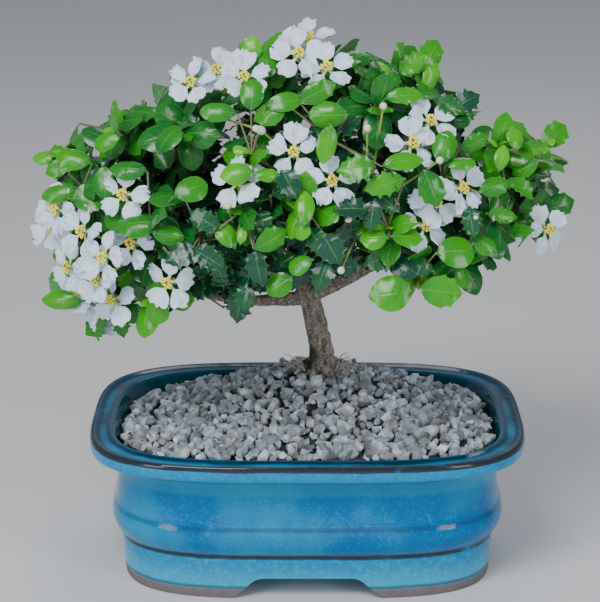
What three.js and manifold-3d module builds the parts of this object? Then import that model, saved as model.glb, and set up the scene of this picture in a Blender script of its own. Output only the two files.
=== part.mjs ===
// An okinawa holly bonsai in its glazed pot, in millimetres, Z up.
// The origin is on the ground under the middle of the tree and its pot, with the front
// of the pot towards -Y.
import * as THREE from 'three';
import { mergeVertices } from 'three/addons/utils/BufferGeometryUtils.js';
import Module from 'manifold-3d';

const wasm = await Module();
wasm.setup();

// Driving dimensions of the pot. An outline offset is measured out from the body's
// outline, which is a superellipse.
const pot = {
  halfLength: 90,
  halfWidth: 61.5,
  roundness: 3.6,
  sides: 26,
  floorHeight: 17,
};
const potWall = [
  // Inner face of the foot ring, foot, lower wall
  [-12, 11], [-11, 0], [-3.4, 0], [-1.9, 21.5],
  // Belt
  [0.8, 25], [2.3, 30.5], [0.1, 38],
  // Body and neck
  [-0.8, 53], [1.4, 58.5], [8.2, 62.2],
  // Lip, channelled rim top, inner edge
  [11.3, 63.2], [11.5, 69], [10.2, 70], [7.6, 69], [2.8, 69], [0.7, 69.9],
  // Inner wall down to the floor
  [-5, 60], [-6.5, 22], [-10, 17],
];
const arch = { width: 70, topWidth: 42, height: 10.5, sideWidth: 40, sideTopWidth: 20 };
const drainHole = { radius: 7, spacing: 84 };

// Gap left between pieces that touch.
const gap = 0.3;

// The soil and the gravel bed, which rises in a mound to the foot of the trunk.
const trunkFoot = new THREE.Vector3(6, 22, 82);
const bed = { edgeHeight: 60, frontRise: 6, moundRise: 19, moundSpread: 38, thickness: 6 };
const stone = { spacing: 7.6, crown: 2, groove: 0.8, roughness: 0.6 };

// The wood: each branch is a smooth curve through points, with its first and last radius.
const branches = {
  trunk: {
    points: [[6, 23, 48], [6, 23, 80], [7, 22, 92], [4, 20, 109], [0, 18, 126]],
    radii: [8, 7.4, 6, 5.3, 5],
    sides: 8,
  },
  right_limb: {
    points: [[1, 18, 122], [20, 12, 133], [34, 4, 143], [45, -4, 148], [57, -14, 149]],
    radii: [4, 3.3, 2.6, 2, 1.3],
    sides: 6,
  },
  right_leader: {
    points: [[33, 5, 142], [44, 8, 152], [48, 14, 168], [41, 14, 184], [27, 8, 201], [14, 2, 222]],
    radii: [2.2, 2, 1.8, 1.6, 1.3, 0.9],
    sides: 5,
  },
  right_arm: {
    points: [[44, -3, 147], [62, 2, 154], [76, 8, 162], [90, 12, 176]],
    radii: [1.8, 1.5, 1.3, 0.9],
    sides: 5,
  },
  right_back: {
    points: [[47, 13, 166], [60, 30, 176], [72, 44, 186]],
    radii: [1.7, 1.3, 0.9],
    sides: 4,
  },
  leader: {
    points: [[-1, 18, 120], [-2, 18, 139], [0, 16, 153], [-3, 12, 169], [-11, 6, 192], [-6, 1, 222]],
    radii: [4.2, 3.6, 3, 2.4, 1.8, 1],
    sides: 6,
  },
  front_branch: {
    points: [[0, 16, 151], [10, -6, 164], [19, -30, 173], [26, -44, 180]],
    radii: [2, 1.6, 1.2, 0.9],
    sides: 5,
  },
  left_limb: {
    points: [[-1, 18, 121], [-13, 12, 122], [-25, 4, 124], [-43, -6, 129], [-54, -16, 136], [-66, -26, 143]],
    radii: [3.8, 3.1, 2.6, 2, 1.5, 1],
    sides: 6,
  },
  left_arm: {
    points: [[-42, -5, 128], [-62, 4, 138], [-80, 4, 144], [-94, -2, 146]],
    radii: [1.7, 1.5, 1.2, 0.9],
    sides: 5,
  },
  left_middle: {
    points: [[-2, 18, 138], [-21, 14, 150], [-42, 8, 163], [-66, 2, 170], [-88, -4, 177]],
    radii: [2.8, 2.3, 1.9, 1.4, 0.9],
    sides: 5,
  },
  left_leader: {
    points: [[-41, 8, 162], [-46, 5, 184], [-52, 2, 203], [-48, -4, 216]],
    radii: [1.7, 1.5, 1.2, 0.9],
    sides: 5,
  },
  left_top: {
    points: [[-46, 6, 183], [-65, 16, 192], [-80, 20, 200]],
    radii: [1.3, 1.1, 0.8],
    sides: 4,
  },
  back_middle: {
    points: [[0, 16, 152], [-3, 38, 161], [-9, 56, 170]],
    radii: [2, 1.5, 0.9],
    sides: 5,
  },
  back_right: {
    points: [[44, 9, 153], [52, 32, 158], [58, 50, 163]],
    radii: [1.6, 1.3, 0.9],
    sides: 4,
  },
  back_left: {
    points: [[-22, 14, 151], [-40, 36, 156], [-56, 50, 160]],
    radii: [1.7, 1.3, 0.9],
    sides: 4,
  },
  front_left: {
    points: [[-26, 4, 124], [-27, -20, 142], [-29, -40, 158]],
    radii: [1.8, 1.4, 0.9],
    sides: 4,
  },
};
const rootSpurs = [
  [[7, 21, 88], [-3, 12, 81], [-9, 6, 76]],
  [[6, 20, 88], [13, 11, 81], [17, 5, 75]],
  [[6, 24, 88], [17, 27, 82], [24, 30, 76]],
  [[6, 24, 88], [-5, 30, 81], [-12, 36, 75]],
];

// Blades, as shares of their length: the outline of one side, with its width as shares of
// the half-width, then the whole width and the rise of the arch. A leaf ends in a tip.
const blades = {
  smooth: { side: [[0.36, 0.95], [0.82, 0.95]], width: 0.6, rise: 0.16, hasTip: true },
  spiny: { side: [[0.38, 1], [0.54, 0.62], [0.8, 0.92]], width: 0.62, rise: 0.16, hasTip: true },
  petal: { side: [[0.56, 0.95], [1, 0.6]], width: 0.8, rise: 0.12 },
};
const bladeThickness = 0.7;

// Leaves are opposite pairs along a twig. A young leaf is smooth, an old one is spiny.
const pairSpacing = 7.5;
const twigRadius = 0.9;
const stemSwell = 1.3;
const leafSpread = { size: 0.24, lean: 0.6, forward: 0.5, towardsTip: 0.9 };
// How far a leaf may swing aside or hang to stay clear of its neighbours.
const leafSways = [0, 0.3, -0.3, 0.6, -0.6];
const leafDroops = [0, 0.4, -0.4];

// One row for each leafy spray: the twig's tip, the number of leaf pairs, the leaf length,
// the turn of the end pair about the twig in degrees, and the kind of leaf.
const sprays = {
  low_right: { tip: [47, -58, 154], pairs: 2, leaf: 19, turn: 4, kind: 'smooth', tone: 'young' },
  right_low: { tip: [68, -50, 160], pairs: 3, leaf: 16, turn: 30, kind: 'smooth', tone: 'green' },
  right_front: { tip: [82, -46, 176], pairs: 3, leaf: 16, turn: 60, kind: 'spiny', tone: 'green' },
  right_tip: { tip: [106, -12, 171], pairs: 4, leaf: 17, turn: 20, kind: 'spiny', tone: 'green' },
  right_upper: { tip: [105, -13, 201], pairs: 4, leaf: 18, turn: 15, kind: 'spiny', tone: 'young' },
  right_shoulder: { tip: [84, -32, 206], pairs: 3, leaf: 16, turn: 70, kind: 'smooth', tone: 'young' },
  upper_right: { tip: [62, -34, 222], pairs: 4, leaf: 17, turn: 10, kind: 'spiny', tone: 'dark' },
  top_right: { tip: [50, -22, 238], pairs: 4, leaf: 17, turn: 35, kind: 'spiny', tone: 'young' },
  top_right_front: { tip: [30, -46, 226], pairs: 3, leaf: 17, turn: 80, kind: 'smooth', tone: 'green' },
  top_middle: { tip: [14, -26, 240], pairs: 4, leaf: 16, turn: 25, kind: 'smooth', tone: 'green' },
  top_left: { tip: [-22, -20, 242], pairs: 4, leaf: 17, turn: 60, kind: 'smooth', tone: 'young' },
  upper_left: { tip: [-54, -44, 214], pairs: 4, leaf: 18, turn: 15, kind: 'smooth', tone: 'green' },
  left_shoulder: { tip: [-84, -24, 212], pairs: 4, leaf: 16, turn: 70, kind: 'smooth', tone: 'young' },
  far_left_upper: { tip: [-110, -6, 194], pairs: 4, leaf: 17, turn: 25, kind: 'spiny', tone: 'young' },
  far_left_middle: { tip: [-101, -34, 184], pairs: 3, leaf: 18, turn: 10, kind: 'smooth', tone: 'green' },
  left_front: { tip: [-68, -58, 178], pairs: 3, leaf: 21, turn: 12, kind: 'smooth', tone: 'green' },
  left_low: { tip: [-68, -46, 140], pairs: 2, leaf: 18, turn: 80, kind: 'smooth', tone: 'young' },
  far_left_low: { tip: [-106, -12, 137], pairs: 2, leaf: 19, turn: 20, kind: 'smooth', tone: 'young' },
  left_hanging: { tip: [-88, -22, 126], pairs: 2, leaf: 16, turn: 10, kind: 'spiny', tone: 'green' },
  middle_left: { tip: [-46, -62, 174], pairs: 4, leaf: 16, turn: 40, kind: 'spiny', tone: 'dark' },
  low_left: { tip: [-28, -58, 150], pairs: 3, leaf: 15, turn: 75, kind: 'spiny', tone: 'dark' },
  low_middle: { tip: [-4, -64, 165], pairs: 3, leaf: 16, turn: 20, kind: 'spiny', tone: 'dark' },
  young_pair: { tip: [-2, -70, 189], pairs: 2, leaf: 15, turn: 84, kind: 'smooth', tone: 'young' },
  middle: { tip: [-28, -66, 186], pairs: 3, leaf: 16, turn: 8, kind: 'spiny', tone: 'green' },
  upper_middle: { tip: [-24, -58, 208], pairs: 4, leaf: 15, turn: 5, kind: 'smooth', tone: 'young' },
  upper_front: { tip: [10, -54, 214], pairs: 4, leaf: 17, turn: 35, kind: 'spiny', tone: 'dark' },
  right_pair: { tip: [34, -66, 178], pairs: 3, leaf: 15, turn: 6, kind: 'smooth', tone: 'young' },
  right_middle: { tip: [58, -50, 196], pairs: 4, leaf: 18, turn: 45, kind: 'smooth', tone: 'green' },
  back_right_low: { tip: [72, 62, 160], pairs: 3, leaf: 17, turn: 20, kind: 'smooth', tone: 'green' },
  back_right_high: { tip: [66, 50, 206], pairs: 3, leaf: 17, turn: 55, kind: 'spiny', tone: 'green' },
  back_far_right: { tip: [105, 28, 188], pairs: 3, leaf: 17, turn: 10, kind: 'smooth', tone: 'young' },
  back_top: { tip: [10, 38, 232], pairs: 3, leaf: 17, turn: 40, kind: 'smooth', tone: 'green' },
  back_middle_high: { tip: [-20, 68, 194], pairs: 3, leaf: 17, turn: 15, kind: 'spiny', tone: 'green' },
  back_left_low: { tip: [-66, 60, 158], pairs: 3, leaf: 17, turn: 30, kind: 'smooth', tone: 'green' },
  back_left_high: { tip: [-58, 46, 210], pairs: 3, leaf: 17, turn: 65, kind: 'spiny', tone: 'young' },
  back_far_left: { tip: [-104, 30, 166], pairs: 3, leaf: 17, turn: 25, kind: 'smooth', tone: 'green' },
};

// Blooms are 22 mm across. Those of an umbel share a stalk, and each faces outwards.
const bloom = {
  petals: 5,
  petalLength: 10.5,
  hubRadius: 1.3,
  calyxHeight: 2.6,
  stamenHeight: 2.2,
  stamenRadius: 2.1,
  stalkRadius: 0.6,
  stalkLength: 10,
  // How far a petal may be cupped forwards or bent back to stay clear of its neighbours.
  cups: [0.16, 0.4, -0.1, 0.65, -0.35, 0.9, 1.3],
};
const umbels = {
  left_outer: [[-115.5, -17, 166], [-111, -31, 177]],
  left_upper: [[-98, -46, 171], [-88, -58, 163]],
  left_middle: [[-106, -36, 152], [-104, -24, 138]],
  left_inner: [[-92, -52, 151], [-76, -54, 168]],
  left_low: [[-86, -46, 140], [-92, -30, 130]],
  lower_left: [[-60, -60, 152]],
  left_high: [[-79, -56, 190]],
  top_left: [[-50, -38, 235], [-39, -36, 240], [-27, -42, 238]],
  top: [[0, -24, 252], [-4, -35, 247], [8, -40, 242]],
  middle_high: [[-6, -62, 210]],
  middle: [[10, -68, 199]],
  middle_left: [[-30, -68, 199]],
  upper_right: [[52, -50, 221], [44, -58, 213]],
  right_middle: [[54, -60, 188], [66, -56, 193]],
  right_low: [[50, -62, 178]],
  right_tip: [[106, -32, 168]],
  back_left: [[-84, 46, 184], [-74, 50, 196]],
  back_top: [[34, 40, 226]],
  back_right: [[86, 48, 178], [44, 66, 184]],
};
// Round buds beside the blooms of an umbel.
const buds = {
  middle_high: [[-20, -58, 219]],
  upper_right: [[60, -54, 208]],
};
const budRadius = 2;

// Middle of the crown. Leaves and blooms turn away from it, and to the light in front.
const crownMiddle = new THREE.Vector3(-3, 0, 160);
const up = new THREE.Vector3(0, 0, 1);
const front = new THREE.Vector3(0, -1, 0);

// A repeatable random number from 0 to 1.
function randomFrom(seed) {
  let state = seed >>> 0;
  return () => {
    state = (Math.imul(state, 1664525) + 1013904223) >>> 0;
    return state / 4294967296;
  };
}

const vector = ([x, y, z]) => new THREE.Vector3(x, y, z);

// A geometry from points and triangles.
function geometryOf(points, triangles) {
  const geometry = new THREE.BufferGeometry();
  const numbers = points.flatMap((point) => point.toArray());
  geometry.setAttribute('position', new THREE.Float32BufferAttribute(numbers, 3));
  geometry.setIndex(triangles);
  return geometry;
}

// A skin over rings of equal point counts, closed by flat ends.
function loft(rings) {
  const sides = rings[0].length;
  const triangles = [];
  for (let ring = 0; ring + 1 < rings.length; ring++) {
    for (let i = 0; i < sides; i++) {
      const a = ring * sides + i;
      const b = ring * sides + ((i + 1) % sides);
      triangles.push(a, b, b + sides, a, b + sides, a + sides);
    }
  }
  const last = (rings.length - 1) * sides;
  for (let i = 1; i + 1 < sides; i++) {
    triangles.push(0, i + 1, i, last, last + i, last + i + 1);
  }
  return geometryOf(rings.flat(), triangles);
}

// The closed solid of a geometry.
function solidOf(geometry) {
  const plain = geometry.clone();
  plain.deleteAttribute('normal');
  plain.deleteAttribute('uv');
  const welded = mergeVertices(plain, 1e-4);
  return new wasm.Manifold(new wasm.Mesh({
    numProp: 3,
    vertProperties: new Float32Array(welded.attributes.position.array),
    triVerts: new Uint32Array(welded.index.array),
  }));
}

// The biggest connected body of a solid, without sealed hollows or loose scraps.
function mainBody(solid) {
  const bodies = solid.decompose();
  return bodies.reduce((a, b) => (b.volume() > a.volume() ? b : a));
}

const joined = (solids) => wasm.Manifold.union(solids);

// A named mesh of a solid.
function meshOf(name, solid, material) {
  const { numProp, vertProperties, triVerts } = solid.simplify(0.03).getMesh();
  const geometry = new THREE.BufferGeometry();
  geometry.setAttribute('position', new THREE.BufferAttribute(new Float32Array(vertProperties), numProp));
  geometry.setIndex(new THREE.BufferAttribute(new Uint32Array(triVerts), 1));
  geometry.computeVertexNormals();
  const mesh = new THREE.Mesh(geometry, material);
  mesh.name = name;
  return mesh;
}

// One level outline of the pot, as far out from the body's outline as offset says.
function potRing(offset, height, sides = pot.sides) {
  const power = 2 / pot.roundness;
  return Array.from({ length: sides }, (_, i) => {
    const turn = ((i + 0.5) / sides) * 2 * Math.PI;
    const across = Math.cos(turn);
    const along = Math.sin(turn);
    return new THREE.Vector3(
      (pot.halfLength + offset) * Math.sign(across) * Math.abs(across) ** power,
      (pot.halfWidth + offset) * Math.sign(along) * Math.abs(along) ** power,
      height,
    );
  });
}

// The opening between two feet, a prism along Y whose ends run past both walls.
function archCutter(width, topWidth, length) {
  const half = width / 2;
  const halfTop = topWidth / 2;
  const shape = new THREE.Shape();
  shape.moveTo(-half, -1);
  shape.lineTo(-half, 0);
  shape.bezierCurveTo(-half + 5, 1, -halfTop - 5, arch.height - 1, -halfTop, arch.height);
  shape.lineTo(halfTop, arch.height);
  shape.bezierCurveTo(halfTop + 5, arch.height - 1, half - 5, 1, half, 0);
  shape.lineTo(half, -1);
  const geometry = new THREE.ExtrudeGeometry(shape, { depth: length, bevelEnabled: false, curveSegments: 4 });
  geometry.translate(0, 0, -length / 2);
  geometry.rotateX(Math.PI / 2);
  return geometry;
}

function buildPot() {
  let body = solidOf(loft(potWall.map(([offset, height]) => potRing(offset, height))));
  const frontArch = archCutter(arch.width, arch.topWidth, 3 * pot.halfWidth);
  const sideArch = archCutter(arch.sideWidth, arch.sideTopWidth, 3 * pot.halfLength);
  sideArch.rotateZ(Math.PI / 2);
  body = body.subtract(solidOf(frontArch)).subtract(solidOf(sideArch));
  for (const side of [-1, 1]) {
    const hole = new THREE.CylinderGeometry(drainHole.radius, drainHole.radius, 20, 16);
    hole.rotateX(Math.PI / 2);
    hole.translate((side * drainHole.spacing) / 2, 0, pot.floorHeight - 3);
    body = body.subtract(solidOf(hole));
  }
  return body;
}

// Height of the gravel at a place, and of the soil a bed's thickness below.
function bedHeight(x, y) {
  const away = (x - trunkFoot.x) ** 2 + (y - trunkFoot.y) ** 2;
  const forward = THREE.MathUtils.clamp(0.5 - y / (2 * pot.halfWidth), 0, 1);
  const mound = bed.moundRise * Math.exp(-away / (2 * bed.moundSpread ** 2));
  return bed.edgeHeight + bed.frontRise * forward + mound;
}

// The soil, spread and lifted to cut the gravel clear of it.
function soilSolid(spread, lift) {
  const rings = [
    potRing(-10 - gap, pot.floorHeight + gap),
    potRing(-6.5 - gap + spread, 22),
    potRing(-6 - gap + spread, 50),
  ];
  for (const share of [1, 0.55, 0.2]) {
    const rim = potRing(-6 - gap + spread, 0);
    rings.push(rim.map((p) => {
      const x = THREE.MathUtils.lerp(trunkFoot.x, p.x, share);
      const y = THREE.MathUtils.lerp(trunkFoot.y, p.y, share);
      return new THREE.Vector3(x, y, bedHeight(x, y) - bed.thickness + lift);
    }));
  }
  return solidOf(loft(rings));
}

// A slab whose top is a net of stones: each is a crown inside a ring of grooves.
function gravelSlab() {
  const random = randomFrom(7);
  const jitter = () => (random() - 0.5) * 2 * stone.roughness;
  const rowHeight = (stone.spacing * Math.sqrt(3)) / 2;
  const columns = Math.ceil((2 * pot.halfLength + 20) / stone.spacing);
  const rows = Math.ceil((2 * pot.halfWidth + 20) / rowHeight);
  const points = [];
  for (let row = 0; row <= rows; row++) {
    for (let column = 0; column <= columns; column++) {
      const x = (column - columns / 2 + (row % 2) / 2) * stone.spacing + jitter();
      const y = (row - rows / 2) * rowHeight + jitter();
      const isCrown = (column - Math.floor(row / 2) + 2 * row + 3 * rows) % 3 === 0;
      const relief = isCrown ? stone.crown : -stone.groove;
      points.push(new THREE.Vector3(x, y, bedHeight(x, y) + relief + jitter()));
    }
  }
  const count = points.length;
  const floor = bed.edgeHeight - 3 * bed.thickness;
  points.push(...points.map((p) => new THREE.Vector3(p.x, p.y, floor)));
  const triangles = [];
  const add = (a, b, c) => triangles.push(a, b, c, a + count, c + count, b + count);
  const wide = columns + 1;
  for (let row = 0; row < rows; row++) {
    for (let column = 0; column < columns; column++) {
      const a = row * wide + column;
      if (row % 2) {
        add(a, a + 1, a + wide + 1);
        add(a, a + wide + 1, a + wide);
      } else {
        add(a, a + 1, a + wide);
        add(a + 1, a + wide + 1, a + wide);
      }
    }
  }
  const wall = (a, b) => triangles.push(b, b + count, a + count, b, a + count, a);
  for (let column = 0; column < columns; column++) {
    wall(column + 1, column);
    wall(rows * wide + column, rows * wide + column + 1);
  }
  for (let row = 0; row < rows; row++) {
    wall(row * wide, (row + 1) * wide);
    wall((row + 1) * wide + columns, row * wide + columns);
  }
  return solidOf(geometryOf(points, triangles));
}

// The room inside the pot's wall for the gravel.
function gravelRoom() {
  return solidOf(loft([[-6, 42], [-5.2, 60], [-0.9, 67.6], [-0.9, 95]].map(
    ([offset, height]) => potRing(offset - gap, height),
  )));
}

// A tube round a curve, whose radius runs through the given values, grown by extra.
function tube(curve, radii, sides, steps, extra) {
  const frames = curve.computeFrenetFrames(steps, false);
  const rings = [];
  for (let step = 0; step <= steps; step++) {
    const share = step / steps;
    const end = (step === steps) - (step === 0);
    const centre = curve.getPoint(share).addScaledVector(curve.getTangent(share), end * extra);
    const at = share * (radii.length - 1);
    const index = Math.min(Math.floor(at), radii.length - 2);
    const wall = extra / Math.cos(Math.PI / sides);
    const radius = THREE.MathUtils.lerp(radii[index], radii[index + 1], at - index) + wall;
    rings.push(Array.from({ length: sides }, (_, i) => {
      const turn = (i / sides) * 2 * Math.PI;
      return centre.clone()
        .addScaledVector(frames.normals[step], radius * Math.cos(turn))
        .addScaledVector(frames.binormals[step], radius * Math.sin(turn));
    }));
  }
  return solidOf(loft(rings));
}

const smoothCurve = (points) => new THREE.CatmullRomCurve3(points.map(vector), false, 'catmullrom', 0.5);

// Every branch and root spur as its own solid, grown by extra all round.
function woodSolids(extra) {
  const solids = Object.values(branches).map((branch) => (
    tube(smoothCurve(branch.points), branch.radii, branch.sides, branchSteps(branch), extra)
  ));
  for (const points of rootSpurs) {
    solids.push(tube(smoothCurve(points), [2.6, 1.7, 0.8], 4, 2, extra));
  }
  return solids;
}

// Thick branches are followed more finely than thin ones.
function branchSteps({ points, sides }) {
  return Math.round((sides > 5 ? 1.5 : 1) * (points.length - 1));
}

const grownWood = joined(woodSolids(gap));

// Points along the branches from which a twig may grow.
const branchPoints = Object.entries(branches).filter(([name]) => name !== 'trunk').flatMap(([, branch]) => {
  const knots = smoothCurve(branch.points).getPoints(branchSteps(branch));
  return knots.slice(1).flatMap((knot, i) => (
    [0.2, 0.4, 0.6, 0.8, 1].map((share) => knots[i].clone().lerp(knot, share))
  ));
});

// The skin of a blade that grows out of a root of four corners, which are numbered 0 to 3:
// lower left, lower right, upper right and upper left, as seen from outside. Both faces
// are split into the same triangles.
function bladeSkin({ side, width, rise, hasTip }, length, corners, way, facing) {
  const x = way.clone().normalize();
  const z = facing.clone().addScaledVector(x, -facing.dot(x)).normalize();
  const y = z.clone().cross(x);
  const root = corners.reduce((sum, corner) => sum.addScaledVector(corner, 0.25), new THREE.Vector3());
  const points = [];
  const addPoint = (share, across, height) => {
    points.push(root.clone()
      .addScaledVector(x, share * length)
      .addScaledVector(y, (across * width * length) / 2)
      .addScaledVector(z, height + rise * length * (share - 1.6 * share ** 2)));
  };
  const half = bladeThickness / 2;
  for (const [share, across] of side) {
    addPoint(share, -across, -half);
    addPoint(share, across, -half);
    addPoint(share, across, half);
    addPoint(share, -across, half);
  }
  const triangles = [];
  for (let below = 0; below < 4 * side.length; below += 4) {
    const [a, b, c, d] = [below, below + 1, below + 2, below + 3];
    triangles.push(a, b, b + 4, a, b + 4, a + 4);
    triangles.push(b, c, c + 4, b, c + 4, b + 4);
    triangles.push(c, d, c + 4, d, d + 4, c + 4);
    triangles.push(d, a, a + 4, d, a + 4, d + 4);
  }
  const last = 4 * side.length;
  if (hasTip) {
    addPoint(1, 0, -half);
    addPoint(1, 0, half);
    const [low, high] = [last + 4, last + 5];
    triangles.push(last, last + 1, low, last + 2, last + 3, high);
    triangles.push(last + 1, last + 2, high, last + 1, high, low);
    triangles.push(last + 3, last, low, last + 3, low, high);
  } else {
    triangles.push(last, last + 1, last + 2, last, last + 2, last + 3);
  }
  return { points, triangles };
}

// A blade by itself, closed at its root.
function bladeSolid(corners, { points, triangles }) {
  return solidOf(geometryOf([...corners, ...points], [...triangles, 0, 2, 1, 0, 3, 2]));
}

// A stem over rings, with blades that grow out of some of its faces. A blade is given by
// the ring below it, its face and its skin.
function growthSolid(rings, grown) {
  const sides = rings[0].length;
  const points = rings.flat();
  const triangles = [];
  for (let ring = 0; ring + 1 < rings.length; ring++) {
    for (let face = 0; face < sides; face++) {
      const corners = faceCorners(sides, ring, face);
      const [a, b, c, d] = corners;
      const one = grown.find((item) => item.ring === ring && item.face === face);
      if (one) {
        const first = points.length - 4;
        points.push(...one.skin.points);
        triangles.push(...one.skin.triangles.map((index) => (index < 4 ? corners[index] : first + index)));
      } else {
        triangles.push(a, b, c, a, c, d);
      }
    }
  }
  const last = (rings.length - 1) * sides;
  for (let i = 1; i + 1 < sides; i++) {
    triangles.push(0, i + 1, i, last, last + i, last + i + 1);
  }
  return solidOf(geometryOf(points, triangles));
}

// The four corners of a stem's face, as numbers of its points.
function faceCorners(sides, ring, face) {
  const a = ring * sides + face;
  const b = ring * sides + ((face + 1) % sides);
  return [a, b, b + sides, a + sides];
}

// Two directions across a way through space. The first is level or close to a given one.
function framesAcross(way, close = up.clone().cross(way)) {
  const across = close.clone().addScaledVector(way, -close.dot(way));
  if (across.length() < 0.05) across.copy(front).cross(way);
  across.normalize();
  return [across, way.clone().cross(across).normalize()];
}

// A ring of points about a centre. Face 0 of its sides looks at the given turn.
function ringAbout(centre, way, radius, sides, turn, close) {
  const [across, above] = framesAcross(way, close);
  return Array.from({ length: sides }, (_, i) => {
    const angle = turn + ((i - 0.5) / sides) * 2 * Math.PI;
    return centre.clone()
      .addScaledVector(across, radius * Math.cos(angle))
      .addScaledVector(above, radius * Math.sin(angle));
  });
}

// What has been placed so far, so that what comes next can be kept clear of it. A node
// may hold several growths, and the blades of one growth may share an edge.
const placed = [];

function place(solid, node, growth) {
  placed.push({ solid, node, growth, box: solid.boundingBox() });
}

function isClear(solid, node, growth, mayCrossNode) {
  const box = solid.boundingBox();
  return placed.every((other) => {
    const apart = [0, 1, 2].some((k) => (
      other.box.min[k] - gap > box.max[k] || box.min[k] - gap > other.box.max[k]
    ));
    if (apart || (mayCrossNode && other.node === node && other.growth !== growth)) return true;
    if (other.growth === growth) return other.isStem || solid.intersect(other.solid).volume() < 0.001;
    return solid.minGap(other.solid, 1) >= 0.7 * gap;
  });
}

// The first form of a blade that is clear of what stands already.
function placeBlade(growth, node, corners, forms) {
  for (const mayCrossNode of [false, true]) {
    for (const form of forms) {
      const skin = form();
      const solid = bladeSolid(corners, skin);
      if (isClear(solid, node, growth, mayCrossNode)) {
        place(solid, node, growth);
        return skin;
      }
    }
  }
  return null;
}

// A straight square stem from one place to another, outside the wood.
function stemSolid(from, to, radius) {
  const way = to.clone().sub(from).normalize();
  return solidOf(loft([from, to].map((at) => ringAbout(at, way, radius, 4, 0)))).subtract(grownWood);
}

// The nearest branch point, beyond the reach, from which a straight stem is clear.
function stemStart(node, end, radius, reach) {
  const starts = branchPoints
    .map((point) => ({ point, far: point.distanceTo(end) }))
    .filter(({ far }) => far > reach)
    .sort((a, b) => a.far - b.far);
  for (const { point } of starts) {
    const stem = stemSolid(point, end, stemSwell * radius);
    const isWhole = mainBody(stem).volume() > 0.99 * stem.volume();
    if (isWhole && isClear(stem, node, null, false)) {
      placed.push({ solid: stem, node, growth: node, isStem: true, box: stem.boundingBox() });
      return point;
    }
  }
  throw new Error(`${node} has no clear way to a branch`);
}

// The way a leaf's face turns at a place in the crown.
function lightAt(point) {
  const outward = point.clone().sub(crownMiddle).normalize();
  return outward.multiplyScalar(0.8).addScaledVector(up, 0.7).addScaledVector(front, 0.3).normalize();
}

// The rings of a spray's twig: its foot, then two for each pair of leaves up to the tip.
function twigRings(start, end, pairs, turn) {
  const along = end.clone().sub(start);
  const length = along.length();
  along.normalize();
  const ring = (distance) => ringAbout(
    end.clone().addScaledVector(along, -distance),
    along,
    twigRadius * (1 + (stemSwell - 1) * (distance / length)),
    4,
    THREE.MathUtils.degToRad(turn),
  );
  const rings = [ring(length)];
  for (let pair = pairs - 1; pair >= 0; pair--) {
    rings.push(ring(pair * pairSpacing + bladeThickness), ring(pair * pairSpacing));
  }
  return rings;
}

// A leaf on one face of a twig, swung or drooped until it is clear.
function placeLeaf(node, corners, along, out, { leaf, kind }, random) {
  const size = leaf * (1 + leafSpread.size * (random() - 0.5));
  const lean = leafSpread.lean * (random() - 0.5);
  const aside = out.clone().cross(along);
  const light = lightAt(corners[0]);
  const facing = light.multiplyScalar(light.dot(along) < 0 ? -1 : 1);
  facing.addScaledVector(along, leafSpread.towardsTip);
  const forms = leafSways.flatMap((sway) => leafDroops.map((droop) => () => {
    const way = out.clone()
      .addScaledVector(aside, sway)
      .addScaledVector(along, leafSpread.forward)
      .addScaledVector(up, lean + droop);
    return bladeSkin(blades[kind], size, corners, way, facing);
  }));
  return placeBlade(node, node, corners, forms);
}

// A spray: a twig with its leaves in pairs, from the tip back.
function spraySolid(node, start, spray, seed) {
  const random = randomFrom(seed);
  const end = vector(spray.tip);
  const room = Math.floor((end.distanceTo(start) - 4) / pairSpacing) + 1;
  const pairs = Math.min(spray.pairs, room);
  const rings = twigRings(start, end, pairs, spray.turn);
  const along = end.clone().sub(start).normalize();
  const points = rings.flat();
  place(growthSolid(rings, []), node, node);
  const grown = [];
  for (let pair = 0; pair < pairs; pair++) {
    const ring = rings.length - 2 - 2 * pair;
    for (const face of pair % 2 ? [1, 3] : [0, 2]) {
      const corners = faceCorners(4, ring, face).map((index) => points[index]);
      const opposite = points[faceCorners(4, ring, (face + 2) % 4)[0]];
      const out = corners[1].clone().sub(opposite).normalize();
      const skin = placeLeaf(node, corners, along, out, spray, random);
      if (skin) grown.push({ ring, face, skin });
    }
  }
  return growthSolid(rings, grown).subtract(grownWood);
}

// A bloom's place, the way it looks and the turn of its first petal.
function bloomAt(centre, seed) {
  const outward = centre.clone().sub(crownMiddle).normalize();
  const towards = centre.y < 0 ? 0.9 : 0;
  const facing = outward.addScaledVector(front, towards).addScaledVector(up, 0.25).normalize();
  const random = randomFrom(seed);
  return { centre, facing, turn: random() * 2 * Math.PI, random };
}

const bloomFoot = ({ centre, facing }) => centre.clone().addScaledVector(facing, -bloom.calyxHeight);

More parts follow.
